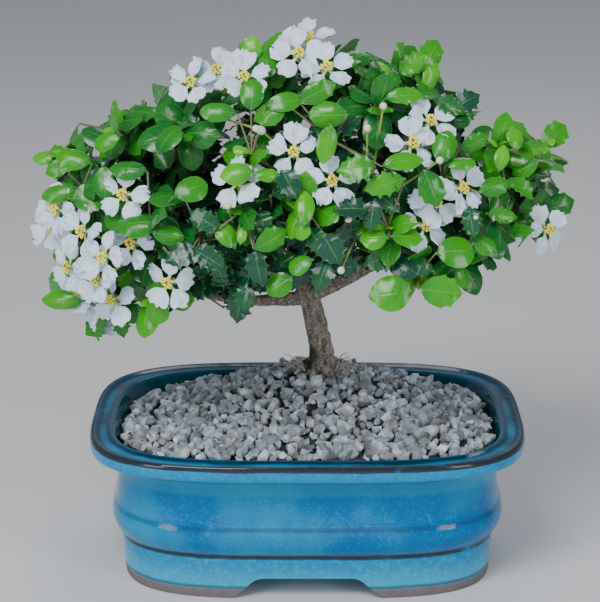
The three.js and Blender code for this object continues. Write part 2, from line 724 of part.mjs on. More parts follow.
// A bloom on its stalk: calyx, petals in one whorl, and the head of stamens.
function bloomSolid(node, growth, stalkFoot, { centre, facing, turn, random }) {
  const foot = bloomFoot({ centre, facing });
  const stalk = foot.clone().sub(stalkFoot).normalize();
  const half = bladeThickness / 2;
  const ring = (height, radius) => (
    ringAbout(centre.clone().addScaledVector(facing, height), facing, radius, bloom.petals, turn)
  );
  const rings = [
    ringAbout(stalkFoot, stalk, bloom.stalkRadius, bloom.petals, turn, framesAcross(facing)[0]),
    ring(-bloom.calyxHeight, bloom.stalkRadius),
    ring(-half, bloom.hubRadius),
    ring(half, bloom.hubRadius),
    ring(bloom.stamenHeight, bloom.stamenRadius),
  ];
  place(growthSolid(rings, []), node, growth);
  const grown = [];
  for (let face = 0; face < bloom.petals; face++) {
    const size = bloom.petalLength * (0.92 + 0.16 * random());
    const corners = faceCorners(bloom.petals, 2, face).map((index) => rings.flat()[index]);
    const out = corners[0].clone().add(corners[2]).multiplyScalar(0.5).sub(centre).normalize();
    const form = (cup) => () => (
      bladeSkin(blades.petal, size, corners, out.clone().addScaledVector(facing, cup), facing)
    );
    const skin = placeBlade(growth, node, corners, bloom.cups.map(form));
    if (skin) grown.push({ ring: 2, face, skin });
  }
  return growthSolid(rings, grown).subtract(grownWood);
}

// A round bud on its stalk.
function budSolid(stalkFoot, centre) {
  const way = centre.clone().sub(stalkFoot).normalize();
  const ring = (height, radius) => ringAbout(centre.clone().addScaledVector(way, height), way, radius, 5, 0);
  return solidOf(loft([
    ringAbout(stalkFoot, way, bloom.stalkRadius, 5, 0),
    ring(-budRadius, bloom.stalkRadius),
    ring(-0.3 * budRadius, budRadius),
    ring(0.5 * budRadius, 0.8 * budRadius),
    ring(budRadius, 0.3 * budRadius),
  ]));
}

// What an umbel holds: its blooms and buds, and the fork where their stalks part. A
// bloom on its own has no fork.
function umbelRow([name, centres], order) {
  const ownBlooms = centres.map((centre, i) => bloomAt(vector(centre), 1000 + 10 * order + i));
  const ownBuds = (buds[name] ?? []).map(vector);
  const isForked = ownBlooms.length + ownBuds.length > 1;
  const fork = new THREE.Vector3();
  for (const one of ownBlooms) {
    fork.addScaledVector(bloomFoot(one), 1 / ownBlooms.length);
    fork.addScaledVector(one.facing, -bloom.stalkLength / ownBlooms.length);
  }
  const stalkEnd = isForked ? fork : bloomFoot(ownBlooms[0]);
  return { node: `bloom_${name}`, ownBlooms, ownBuds, isForked, stalkEnd };
}

// The blooms and buds of an umbel, joined by its stalk.
function umbelSolid({ node, ownBlooms, ownBuds, isForked, stalkEnd }, start) {
  const foot = isForked ? stalkEnd : start;
  const pieces = ownBlooms.map((one, i) => bloomSolid(node, `${node}_${i}`, foot, one));
  pieces.push(...ownBuds.map((centre) => budSolid(foot, centre)));
  if (isForked) {
    const way = stalkEnd.clone().sub(start).normalize();
    const pastFork = stalkEnd.clone().addScaledVector(way, 0.5);
    pieces.push(stemSolid(start, pastFork, stemSwell * bloom.stalkRadius));
  }
  return mainBody(joined(pieces));
}

const finish = {
  glaze: new THREE.MeshStandardMaterial({ color: 0x1b7fae, roughness: 0.18, metalness: 0 }),
  soil: new THREE.MeshStandardMaterial({ color: 0x3a2c22, roughness: 0.95, metalness: 0 }),
  gravel: new THREE.MeshStandardMaterial({ color: 0x9a9ba3, roughness: 0.85, metalness: 0 }),
  bark: new THREE.MeshStandardMaterial({ color: 0x6d5c4e, roughness: 0.9, metalness: 0 }),
  young: new THREE.MeshStandardMaterial({ color: 0x6cb82a, roughness: 0.35, metalness: 0 }),
  green: new THREE.MeshStandardMaterial({ color: 0x3f8f2c, roughness: 0.35, metalness: 0 }),
  dark: new THREE.MeshStandardMaterial({ color: 0x1f5a45, roughness: 0.3, metalness: 0 }),
  petal: new THREE.MeshStandardMaterial({ color: 0xdfe9f6, roughness: 0.6, metalness: 0 }),
};

// Everything that grows: the wood first, then stalks and twigs, then petals and leaves.
function buildTree(group) {
  const wood = woodSolids(0);
  wood.forEach((solid) => place(solid, 'wood', 'wood'));
  const umbelRows = Object.entries(umbels).map(umbelRow);
  const starts = {};
  for (const { node, stalkEnd } of umbelRows) {
    starts[node] = stemStart(node, stalkEnd, bloom.stalkRadius, 8);
  }
  for (const [name, { tip }] of Object.entries(sprays)) {
    starts[name] = stemStart(`spray_${name}`, vector(tip), twigRadius, 16);
  }

  group.add(meshOf('wood', mainBody(joined(wood)), finish.bark));
  for (const row of umbelRows) {
    const solid = umbelSolid(row, starts[row.node]);
    place(solid, row.node, row.node);
    group.add(meshOf(row.node, solid, finish.petal));
  }
  Object.entries(sprays).forEach(([name, spray], order) => {
    const solid = spraySolid(`spray_${name}`, starts[name], spray, 100 + order);
    group.add(meshOf(`spray_${name}`, mainBody(solid), finish[spray.tone]));
  });
}

const bonsai = new THREE.Group();
bonsai.add(meshOf('pot', buildPot(), finish.glaze));
const trunkHole = joined([...woodSolids(gap).slice(0, 1), ...woodSolids(gap).slice(-rootSpurs.length)]);
bonsai.add(meshOf('soil', mainBody(soilSolid(0, 0).subtract(trunkHole)), finish.soil));
const gravel = gravelSlab().intersect(gravelRoom()).subtract(soilSolid(2, 2 * gap)).subtract(trunkHole);
bonsai.add(meshOf('gravel', mainBody(gravel), finish.gravel));
buildTree(bonsai);

export default bonsai;
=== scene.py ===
import itertools
import math

import bmesh
import bpy
import numpy as np
from mathutils import Matrix, Vector, noise
from mathutils.kdtree import KDTree


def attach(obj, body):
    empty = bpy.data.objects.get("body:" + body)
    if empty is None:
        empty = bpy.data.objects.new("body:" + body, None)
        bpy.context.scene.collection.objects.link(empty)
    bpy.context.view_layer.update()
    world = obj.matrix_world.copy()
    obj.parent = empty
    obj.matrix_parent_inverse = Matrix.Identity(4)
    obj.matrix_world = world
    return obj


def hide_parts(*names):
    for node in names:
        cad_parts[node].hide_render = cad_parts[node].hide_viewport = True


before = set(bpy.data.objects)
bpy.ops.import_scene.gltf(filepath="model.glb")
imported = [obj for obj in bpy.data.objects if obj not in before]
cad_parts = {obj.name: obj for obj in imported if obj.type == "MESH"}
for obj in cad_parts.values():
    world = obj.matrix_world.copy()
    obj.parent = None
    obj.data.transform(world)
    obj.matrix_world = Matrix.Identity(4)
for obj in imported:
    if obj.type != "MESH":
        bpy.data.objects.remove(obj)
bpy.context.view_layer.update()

bl_info = {
    "name": "Okinawa holly bonsai",
    "version": (1, 0, 0),
    "blender": (4, 5, 0),
    "location": "View3D > Sidebar > Bonsai",
    "description": "Dresses an okinawa holly bonsai in its glazed pot with bark, leaves, flowers and gravel",
    "category": "Add Mesh",
}

MM = 0.001
UP = Vector((0, 0, 1))
FRONT = Vector((0, -1, 0))
CROWN_MIDDLE = Vector((-3, 0, 160))
TRUNK_FOOT = Vector((6, 22, 82))
POT_ROUNDNESS = 3.6

# The camera of the photograph, in millimetres, and its picture, in pixels.
CAMERA_EYE = Vector((-3.4, -892.7, 401.6))
CAMERA_AIM = Vector((-3.4, 0, 124.9))
CAMERA_TILT = 72.78
CAMERA_LENS = 119.6
SENSOR_WIDTH = 36
PICTURE_MIDDLE = (300, 301)
PICTURE_SCALE = 2000
PICTURE_UP = Vector((0, 0.296, 0.955))
PICTURE_OUT = Vector((0, -0.955, 0.296))

# The wood, in millimetres: points of each branch and the radius along it.
BRANCHES = {
    "trunk": (
        [(6, 23, 48), (6, 23, 80), (7, 22, 92), (4, 20, 109), (0, 18, 126)],
        [8, 7.4, 6, 5.3, 5],
    ),
    "right_limb": (
        [(1, 18, 122), (20, 12, 133), (34, 4, 143), (45, -4, 148), (57, -14, 149)],
        [4, 3.3, 2.6, 2, 1.3],
    ),
    "right_leader": (
        [(33, 5, 142), (44, 8, 152), (48, 14, 168), (41, 14, 184), (27, 8, 201), (14, 2, 222)],
        [2.2, 2, 1.8, 1.6, 1.3, 0.9],
    ),
    "right_arm": ([(44, -3, 147), (62, 2, 154), (76, 8, 162), (90, 12, 176)], [1.8, 1.5, 1.3, 0.9]),
    "right_back": ([(47, 13, 166), (60, 30, 176), (72, 44, 186)], [1.7, 1.3, 0.9]),
    "leader": (
        [(-1, 18, 120), (-2, 18, 139), (0, 16, 153), (-3, 12, 169), (-11, 6, 192), (-6, 1, 222)],
        [4.2, 3.6, 3, 2.4, 1.8, 1],
    ),
    "front_branch": ([(0, 16, 151), (10, -6, 164), (19, -30, 173), (26, -44, 180)], [2, 1.6, 1.2, 0.9]),
    "left_limb": (
        [(-1, 18, 121), (-13, 12, 122), (-25, 4, 124), (-43, -6, 129), (-54, -16, 136), (-66, -26, 143)],
        [3.8, 3.1, 2.6, 2, 1.5, 1],
    ),
    "left_arm": ([(-42, -5, 128), (-62, 4, 138), (-80, 4, 144), (-94, -2, 146)], [1.7, 1.5, 1.2, 0.9]),
    "left_middle": (
        [(-2, 18, 138), (-21, 14, 150), (-42, 8, 163), (-66, 2, 170), (-88, -4, 177)],
        [2.8, 2.3, 1.9, 1.4, 0.9],
    ),
    "left_leader": ([(-41, 8, 162), (-46, 5, 184), (-52, 2, 203), (-48, -4, 216)], [1.7, 1.5, 1.2, 0.9]),
    "left_top": ([(-46, 6, 183), (-65, 16, 192), (-80, 20, 200)], [1.3, 1.1, 0.8]),
    "back_middle": ([(0, 16, 152), (-3, 38, 161), (-9, 56, 170)], [2, 1.5, 0.9]),
    "back_right": ([(44, 9, 153), (52, 32, 158), (58, 50, 163)], [1.6, 1.3, 0.9]),
    "back_left": ([(-22, 14, 151), (-40, 36, 156), (-56, 50, 160)], [1.7, 1.3, 0.9]),
    "front_left": ([(-26, 4, 124), (-27, -20, 142), (-29, -40, 158)], [1.8, 1.4, 0.9]),
}
ROOT_SPURS = [
    [(7, 21, 88), (-3, 12, 81), (-9, 6, 76)],
    [(6, 20, 88), (13, 11, 81), (17, 5, 75)],
    [(6, 24, 88), (17, 27, 82), (24, 30, 76)],
    [(6, 24, 88), (-5, 30, 81), (-12, 36, 75)],
]
SPUR_RADII = [3.2, 2.1, 1]

# One row for each leafy spray: the twig's tip, the number of leaf pairs, the leaf length,
# the turn of the end pair about the twig in degrees, the kind of leaf and its tone.
SPRAYS = {
    "low_right": ((47, -58, 154), 2, 19, 4, "smooth", "young"),
    "right_low": ((68, -50, 160), 3, 16, 30, "smooth", "green"),
    "right_front": ((82, -46, 176), 3, 16, 60, "spiny", "green"),
    "right_tip": ((106, -12, 171), 4, 17, 20, "spiny", "green"),
    "right_upper": ((105, -13, 201), 4, 18, 15, "spiny", "young"),
    "right_shoulder": ((84, -32, 206), 3, 16, 70, "smooth", "young"),
    "upper_right": ((62, -34, 222), 4, 17, 10, "spiny", "dark"),
    "top_right": ((50, -22, 238), 4, 17, 35, "spiny", "young"),
    "top_right_front": ((30, -46, 226), 3, 17, 80, "smooth", "green"),
    "top_middle": ((14, -26, 240), 4, 16, 25, "smooth", "green"),
    "top_left": ((-22, -20, 242), 4, 17, 60, "smooth", "young"),
    "upper_left": ((-54, -44, 214), 4, 18, 15, "smooth", "green"),
    "left_shoulder": ((-84, -24, 212), 4, 16, 70, "smooth", "young"),
    "far_left_upper": ((-110, -6, 194), 4, 17, 25, "spiny", "young"),
    "far_left_middle": ((-101, -34, 184), 3, 18, 10, "smooth", "green"),
    "left_front": ((-68, -58, 178), 3, 21, 12, "smooth", "green"),
    "left_low": ((-68, -46, 140), 2, 18, 80, "smooth", "young"),
    "far_left_low": ((-106, -12, 137), 2, 19, 20, "smooth", "young"),
    "left_hanging": ((-88, -22, 126), 2, 16, 10, "spiny", "green"),
    "middle_left": ((-46, -62, 174), 4, 16, 40, "spiny", "dark"),
    "low_left": ((-28, -58, 150), 3, 15, 75, "spiny", "dark"),
    "low_middle": ((-4, -64, 165), 3, 16, 20, "spiny", "dark"),
    "young_pair": ((-2, -70, 189), 2, 15, 84, "smooth", "young"),
    "middle": ((-28, -66, 186), 3, 16, 8, "spiny", "green"),
    "upper_middle": ((-24, -58, 208), 4, 15, 5, "smooth", "young"),
    "upper_front": ((10, -54, 214), 4, 17, 35, "spiny", "dark"),
    "right_pair": ((34, -66, 178), 3, 15, 6, "smooth", "young"),
    "right_middle": ((58, -50, 196), 4, 18, 45, "smooth", "green"),
    "back_right_low": ((72, 62, 160), 3, 17, 20, "smooth", "green"),
    "back_right_high": ((66, 50, 206), 3, 17, 55, "spiny", "green"),
    "back_far_right": ((105, 28, 188), 3, 17, 10, "smooth", "young"),
    "back_top": ((10, 38, 232), 3, 17, 40, "smooth", "green"),
    "back_middle_high": ((-20, 68, 194), 3, 17, 15, "spiny", "green"),
    "back_left_low": ((-66, 60, 158), 3, 17, 30, "smooth", "green"),
    "back_left_high": ((-58, 46, 210), 3, 17, 65, "spiny", "young"),
    "back_far_left": ((-104, 30, 166), 3, 17, 25, "smooth", "green"),
}
PAIR_SPACING = 7.5
TWIG_RADIUS = 0.9
STEM_SWELL = 1.3
BLADE_THICKNESS = 0.7
LEAF_RISE = 0.16
LEAF_SWAYS = (0, 0.3, -0.3, 0.6, -0.6)
LEAF_DROOPS = (0, 0.4, -0.4)
LEAF_LEANS = {"size": 0.24, "lean": 0.6, "forward": 0.5, "towards_tip": 0.9}

# Centres of the blooms of each umbel, and of the buds beside them.
UMBELS = {
    "left_outer": [(-115.5, -17, 166), (-111, -31, 177)],
    "left_upper": [(-98, -46, 171), (-88, -58, 163)],
    "left_middle": [(-106, -36, 152), (-104, -24, 138)],
    "left_inner": [(-92, -52, 151), (-76, -54, 168)],
    "left_low": [(-86, -46, 140), (-92, -30, 130)],
    "lower_left": [(-60, -60, 152)],
    "left_high": [(-79, -56, 190)],
    "top_left": [(-50, -38, 235), (-39, -36, 240), (-27, -42, 238)],
    "top": [(0, -24, 252), (-4, -35, 247), (8, -40, 242)],
    "middle_high": [(-6, -62, 210)],
    "middle": [(10, -68, 199)],
    "middle_left": [(-30, -68, 199)],
    "upper_right": [(52, -50, 221), (44, -58, 213)],
    "right_middle": [(54, -60, 188), (66, -56, 193)],
    "right_low": [(50, -62, 178)],
    "right_tip": [(106, -32, 168)],
    "back_left": [(-84, 46, 184), (-74, 50, 196)],
    "back_top": [(34, 40, 226)],
    "back_right": [(86, 48, 178), (44, 66, 184)],
}
BUDS = {
    "middle_high": [(-20, -58, 219)],
    "upper_right": [(60, -54, 208)],
}
# Buds on stalks of their own.
LOOSE_BUDS = [
    (14, -79, 163), (17, -77, 185), (72, -63, 182), (-22, -64, 221), (56, -63, 207),
    (25, -63, 221), (32, -56, 229), (-34, -74, 190), (92, 40, 190), (-50, 62, 188),
]
BUD_SIZE = 4.4
LOOSE_BUD_SIZE = 3.4
BLOOM = {
    "petals": 5,
    "petal_length": 10.5,
    "petal_width": 0.8,
    "petal_rise": 0.12,
    "hub_radius": 1.3,
    "calyx_height": 2.6,
    "stalk_radius": 0.6,
    "stalk_length": 10,
    "stamens": 13,
    "stamen_radius": 0.17,
    "cups": (0.16, 0.4, -0.1, 0.65, -0.35, 0.9, 1.3),
}


def lifelike(seed):
    """Random numbers from 0 to 1, the same ones each run."""
    state = seed & 0xFFFFFFFF
    while True:
        state = (state * 1664525 + 1013904223) & 0xFFFFFFFF
        yield state / 4294967296


def deselect():
    """Nothing stays selected and no piece is being edited."""
    if bpy.context.object and bpy.context.object.mode != "OBJECT":
        bpy.ops.object.mode_set(mode="OBJECT")
    bpy.ops.object.select_all(action="DESELECT")


def only(model):
    """The model is the one that the next operators work on."""
    deselect()
    model.select_set(True)
    bpy.context.view_layer.objects.active = model


def finish_with(model, kind, **settings):
    """Adds a modifier to the model and applies it."""
    only(model)
    modifier = model.modifiers.new(kind.title(), kind)
    for name, value in settings.items():
        setattr(modifier, name, value)
    bpy.ops.object.modifier_apply(modifier=modifier.name)


def settle(piece, name, materials, slot, *nodes):
    """Names a finished piece, dresses it and puts it in the frame in place of the nodes."""
    piece.name = name
    piece.data.name = name
    for material in materials:
        piece.data.materials.append(material)
    if nodes:
        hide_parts(*nodes)
    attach(piece, "root")


def repaint(node, material):
    """Gives a CAD node that stays a material of its own."""
    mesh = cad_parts[node].data
    mesh.materials.clear()
    mesh.materials.append(material)


# Shapes and their copies


class Shape:
    """A modelled shape kept as numbers, ready to be copied."""

    def __init__(self, model):
        mesh = model.data
        self.points = np.empty(3 * len(mesh.vertices))
        mesh.vertices.foreach_get("co", self.points)
        self.points = self.points.reshape(-1, 3)
        self.corners = np.empty(len(mesh.loops), int)
        mesh.loops.foreach_get("vertex_index", self.corners)
        self.sizes = np.empty(len(mesh.polygons), int)
        mesh.polygons.foreach_get("loop_total", self.sizes)
        self.slots = np.empty(len(mesh.polygons), int)
        mesh.polygons.foreach_get("material_index", self.slots)
        self.map = np.zeros(2 * len(mesh.loops))
        if mesh.uv_layers:
            mesh.uv_layers[0].data.foreach_get("uv", self.map)
        bpy.data.objects.remove(model)


class Bunch:
    """Copies of shapes, gathered into one piece."""

    def __init__(self):
        self.points = []
        self.corners = []
        self.sizes = []
        self.slots = []
        self.maps = []
        self.tones = []
        self.count = 0

    def add(self, shape, axes, place, tone=0.5, slot=0):
        """Adds a copy whose X, Y and Z run along the given axes, with its origin at a place."""
        turned = shape.points @ np.array([list(axis) for axis in axes]) + np.array(list(place))
        self.points.append(turned)
        self.corners.append(shape.corners + self.count)
        self.sizes.append(shape.sizes)
        self.slots.append(shape.slots + slot)
        self.maps.append(shape.map)
        self.tones.append(np.full(len(turned), tone))
        self.count += len(turned)

    def piece(self, smooth_angle):
        """One object of all copies, in metres, smooth over edges flatter than the angle in degrees."""
        mesh = bpy.data.meshes.new("copies")
        points = np.concatenate(self.points) * MM
        corners = np.concatenate(self.corners)
        sizes = np.concatenate(self.sizes)
        mesh.vertices.add(len(points))
        mesh.vertices.foreach_set("co", points.ravel())
        mesh.loops.add(len(corners))
        mesh.polygons.add(len(sizes))
        mesh.polygons.foreach_set("loop_start", np.concatenate([[0], np.cumsum(sizes)[:-1]]))
        mesh.polygons.foreach_set("vertices", corners)
        mesh.polygons.foreach_set("material_index", np.concatenate(self.slots))
        mesh.update(calc_edges=True)
        mesh.uv_layers.new(name="surface").data.foreach_set("uv", np.concatenate(self.maps))
        tone = mesh.attributes.new("tone", "FLOAT", "POINT")
        tone.data.foreach_set("value", np.concatenate(self.tones))
        mesh.polygons.foreach_set("use_smooth", np.full(len(sizes), True))
        mesh.set_sharp_from_angle(angle=math.radians(smooth_angle))
        piece = bpy.data.objects.new("copies", mesh)
        bpy.context.scene.collection.objects.link(piece)
        return piece


def across_frame(way):
    """Two directions across a way. The first is level."""
    across = UP.cross(way)
    if across.length < 0.05:
        across = FRONT.cross(way)
    across.normalize()
    return across, way.cross(across).normalized()


def curve_points(points, steps):
    """Points on the smooth curve through the given ones."""
    knots = [Vector(point) for point in points]
    result = []
    for step in range(steps + 1):
        at = step / steps * (len(knots) - 1)
        i = min(int(at), len(knots) - 2)
        share = at - i
        here, there = knots[i], knots[i + 1]
        before = knots[i - 1] if i else 2 * here - there
        after = knots[i + 2] if i + 2 < len(knots) else 2 * there - here
        leave = (there - before) / 2
        arrive = (after - here) / 2
        result.append(
            (2 * here - 2 * there + leave + arrive) * share**3
            + (3 * there - 3 * here - 2 * leave - arrive) * share**2
            + leave * share
            + here
        )
    return result


def radius_along(radii, share):
    """The radius at a share of a branch's length."""
    at = share * (len(radii) - 1)
    i = min(int(at), len(radii) - 2)
    return radii[i] + (radii[i + 1] - radii[i]) * (at - i)


def stick_shape(sides):
    """A thin straight stick with a radius and a length of one, standing on the origin."""
    deselect()
    bpy.ops.mesh.primitive_cylinder_add(vertices=sides, radius=1, depth=1, location=(0, 0, 0.5))
    bpy.ops.object.transform_apply(location=True)
    return Shape(bpy.context.object)


def round_rod(points, radii, half_turn_sides):
    """A closed round rod along points, modelled as a bevelled curve."""
    curve = bpy.data.curves.new("rod", "CURVE")
    curve.dimensions = "3D"
    curve.bevel_depth = 1
    curve.bevel_resolution = half_turn_sides
    curve.use_fill_caps = True
    line = curve.splines.new("POLY")
    line.points.add(len(points) - 1)
    for knot, point, radius in zip(line.points, points, radii):
        knot.co = (*point, 1)
        knot.radius = radius
    rod = bpy.data.objects.new("rod", curve)
    bpy.context.scene.collection.objects.link(rod)
    only(rod)
    bpy.ops.object.convert(target="MESH")
    return bpy.context.object


# Materials


class Flow:
    """A value that runs through a material. Sums on it add Math nodes."""

    def __init__(self, paint, socket):
        self.paint = paint
        self.socket = socket

    def math(self, operation, *values):
        """A Math node on the values, which are numbers or flows."""
        return self.paint.node("ShaderNodeMath", {"operation": operation}, dict(enumerate(values)))

    def __add__(self, other):
        return self.math("ADD", self, other)

    __radd__ = __add__

    def __sub__(self, other):
        return self.math("SUBTRACT", self, other)

    def __rsub__(self, other):
        return self.math("SUBTRACT", other, self)

    def __mul__(self, other):
        return self.math("MULTIPLY", self, other)

    __rmul__ = __mul__

    def __abs__(self):
        return self.math("ABSOLUTE", self)

    def step(self, low, high):
        """Rises smoothly from 0 at low to 1 at high, or falls where low is the higher."""
        settings = {"interpolation_type": "SMOOTHSTEP"}
        return self.paint.node("ShaderNodeMapRange", settings, {0: self, 1: low, 2: high, 3: 0, 4: 1})

    def band(self, bottom, low, high, top):
        """1 between low and high, and 0 under the bottom and over the top."""
        return self.step(bottom, low) * self.step(top, high)


class Paint:
    """A procedural material."""

    def __init__(self, name, roughness, coat=0.0, specular=0.5):
        self.material = bpy.data.materials.new(name)
        self.material.use_nodes = True
        self.tree = self.material.node_tree
        self.shader = self.tree.nodes["Principled BSDF"]
        self.shader.inputs["Roughness"].default_value = roughness
        self.shader.inputs["Coat Weight"].default_value = coat
        self.shader.inputs["Coat Roughness"].default_value = 0.08
        self.shader.inputs["Specular IOR Level"].default_value = specular

    def node(self, kind, settings, sockets, output=0):
        """Adds a node with its settings and with values or links on its sockets."""
        node = self.tree.nodes.new(kind)
        for name, value in settings.items():
            if name == "stops":
                self.set_stops(node.color_ramp, value)
            else:
                setattr(node, name, value)
        for key, value in sockets.items():
            if isinstance(value, Flow):
                self.tree.links.new(value.socket, node.inputs[key])
            else:
                node.inputs[key].default_value = value
        return Flow(self, node.outputs[output])

    @staticmethod
    def set_stops(ramp, stops):
        """Gives a ramp its positions and colours."""
        while len(ramp.elements) < len(stops):
            ramp.elements.new(0.5)
        for element, (position, colour) in zip(ramp.elements, stops):
            element.position = position
            element.color = (*colour, 1)

    def place(self):
        """Object coordinates, in metres from the pot's middle at the ground."""
        return self.node("ShaderNodeTexCoord", {}, {}, "Object")

    def part_of(self, vector, axis):
        """The part of a vector along X, Y or Z."""
        return self.node("ShaderNodeSeparateXYZ", {}, {0: vector}, axis)

    def surface(self, axis):
        """How far along or across its own surface a place is, from 0 to 1."""
        return self.part_of(self.node("ShaderNodeUVMap", {"uv_map": "surface"}, {}), axis)

    def attribute(self, name):
        """A number that the mesh carries at its points."""
        return self.node("ShaderNodeAttribute", {"attribute_name": name}, {}, "Fac")

    def stretched(self, scale):
        """Object coordinates with a scale for each axis."""
        return self.node("ShaderNodeMapping", {}, {"Vector": self.place(), "Scale": scale})

    def cloud(self, scale, detail=3, roughness=0.55, vector=None):
        """Soft noise from 0 to 1."""
        sockets = {"Vector": vector or self.place(), "Scale": scale, "Detail": detail, "Roughness": roughness}
        return self.node("ShaderNodeTexNoise", {}, sockets, "Fac")

    def cells(self, scale):
        """Distance to the nearest of scattered points."""
        return self.node("ShaderNodeTexVoronoi", {}, {"Vector": self.place(), "Scale": scale}, "Distance")

    def ramp(self, value, *stops):
        """A colour for each value, blended between the stops."""
        return self.node("ShaderNodeValToRGB", {"stops": stops}, {0: value})

    def mix(self, share, first, second):
        """The first colour, with a share of the second over it."""
        first, second = (c if isinstance(c, Flow) else (*c[:3], 1) for c in (first, second))
        return self.node("ShaderNodeMix", {"data_type": "RGBA"}, {0: share, 6: first, 7: second}, 2)

    def colour(self, value):
        """Gives the surface its colour."""
        self.tree.links.new(value.socket, self.shader.inputs["Base Color"])

    def roughness(self, value):
        """Gives the surface a roughness that changes over it."""
        self.tree.links.new(value.socket, self.shader.inputs["Roughness"])

    def relief(self, height, strength, distance):
        """Gives the surface its fine bumps. The distance is in metres."""
        sockets = {"Strength": strength, "Distance": distance, "Height": height}
        bump = self.node("ShaderNodeBump", {}, sockets)
        self.tree.links.new(bump.socket, self.shader.inputs["Normal"])


# Bands of the glaze, in millimetres up the wall or out over the rim: where each begins, is whole and ends.
# Over the neck band the glaze is painted lighter, as painted light in the lip's shadow.
WALL_BANDS = {
    "belt_line": (19.6, 20.6, 22, 23),
    "belt_top": (34.4, 35.4, 36.4, 37.4),
    "neck": (50, 53, 58, 61.4),
    "under_lip": (61.4, 61.8, 62.2, 62.6),
}
RIM_BANDS = {"inner_edge": (0.1, 0.6, 1.4, 1.9), "channel": (0.9, 2.8, 8.4, 10.2)}
# Heights between which the glaze changes, in millimetres.
GLAZE_CHANGES = {
    "clay": (5.2, 4.2),
    "clay_edge": (7, 5.8),
    "low_skirt": (19, 6),
    "skirt": (22.6, 21.2),
    "lip": (61.6, 62.6),
    "outer_edge": (67.4, 68.2),
    "top": (68.4, 69.2),
    "inner_edge": (68.8, 69.4),
}
OUTER_EDGE_REACH = (9.2, 10.2)


def glaze_material(settings):
    """Blue glaze that thins over edges, darkens in hollows and stops above a bare clay foot, with painted
    light lifting the hollow under the lip.
    """
    paint = Paint("glaze", 0.12, specular=0.3)
    place = paint.place()
    wander = paint.cloud(35, 4)
    height = paint.part_of(place, "Z") * 1000 + (wander - 0.5) * 1.4
    reach = paint.attribute("reach")
    drip = paint.cloud(1, 5, 0.6, paint.stretched((90, 90, 30)))
    broad = paint.cloud(16, 3)
    mottle = paint.cloud(320, 4, 0.7)
    fine = paint.cloud(900, 3, 0.7)
    body = paint.mix(drip.step(0.45, 0.8) * 0.5, settings.body_colour, settings.deep_colour)
    body = paint.mix(broad.step(0.48, 0.62) * 0.8, body, settings.deep_colour)
    body = paint.mix(broad.step(0.46, 0.34) * 0.6, body, (0.0, 0.3, 0.46))
    body = paint.mix(mottle.step(0.52, 0.72) * 0.5, body, settings.lip_colour)
    body = paint.mix(fine.step(0.5, 0.68) * 0.35, body, (0.02, 0.36, 0.62))
    # Painted light: the neck under the lip is lifted to a lighter teal against the lip's shadow.
    neck = height.band(*WALL_BANDS["neck"])
    body = paint.mix(neck * 0.45, body, (0.01, 0.3, 0.48))
    skirt = paint.mix(mottle.step(0.4, 0.75) * 0.6, settings.body_colour, settings.skirt_colour)
    low = height.step(*GLAZE_CHANGES["low_skirt"])
    skirt = paint.mix(low * 0.65, skirt, settings.skirt_colour)
    skirt = paint.mix(fine.step(0.54, 0.7) * low * 0.5, skirt, (0.42, 0.5, 0.5))
    body = paint.mix(height.step(*GLAZE_CHANGES["skirt"]), body, skirt)
    lip = height.step(*GLAZE_CHANGES["lip"])
    lip_paint = paint.mix(mottle.step(0.35, 0.6), settings.body_colour, settings.lip_colour)
    lip_paint = paint.mix(fine.step(0.52, 0.68) * 0.35, lip_paint, (0.05, 0.5, 0.8))
    body = paint.mix(lip, body, lip_paint)
    top = height.step(*GLAZE_CHANGES["top"])
    channel = reach.band(*RIM_BANDS["channel"])
    rim = paint.mix(channel, settings.neck_colour, settings.rim_colour)
    rim = paint.mix(drip.step(0.5, 0.75) * 0.3, rim, settings.neck_colour)
    body = paint.mix(top, body, rim)
    inner = paint.attribute("inside")
    body = paint.mix(inner, body, paint.mix(drip, (0.0, 0.085, 0.13), (0.005, 0.03, 0.045)))
    under_lip = height.band(*WALL_BANDS["under_lip"])
    outer_edge = reach.step(*OUTER_EDGE_REACH) * height.step(*GLAZE_CHANGES["outer_edge"])
    inner_edge = reach.band(*RIM_BANDS["inner_edge"]) * height.step(*GLAZE_CHANGES["inner_edge"])
    belt_line = height.band(*WALL_BANDS["belt_line"])
    belt_top = height.band(*WALL_BANDS["belt_top"])
    iron = under_lip * 0.45 + outer_edge * 1.1 + inner_edge * 0.5 + belt_line * 0.9 + belt_top * 0.4
    iron = iron * paint.cloud(45, 3).step(0.22, 0.42)
    body = paint.mix(iron.math("MINIMUM", iron, 0.92), body, settings.iron_colour)
    clay = height.step(*GLAZE_CHANGES["clay"])
    clay_edge = height.step(*GLAZE_CHANGES["clay_edge"]) * (1 - clay)
    body = paint.mix(clay_edge * 0.7, body, (0.05, 0.045, 0.05))
    clay_paint = paint.mix(mottle, settings.clay_colour, (0.2, 0.18, 0.185))
    paint.colour(paint.mix(clay, body, clay_paint))
    paint.roughness(paint.cloud(200, 3) * 0.08 + 0.07 + clay * 0.6)
    paint.relief(paint.cloud(90, 3) + paint.cloud(420, 2) * 0.25, 0.25, 0.0006)
    return paint.material


def soil_material():
    """Dark crumbly soil."""
    paint = Paint("soil", 0.95)
    crumb = paint.cells(350)
    paint.colour(paint.mix(crumb, (0.035, 0.024, 0.017), (0.09, 0.06, 0.04)))
    paint.relief(crumb + paint.cloud(500), 0.8, 0.001)
    return paint.material


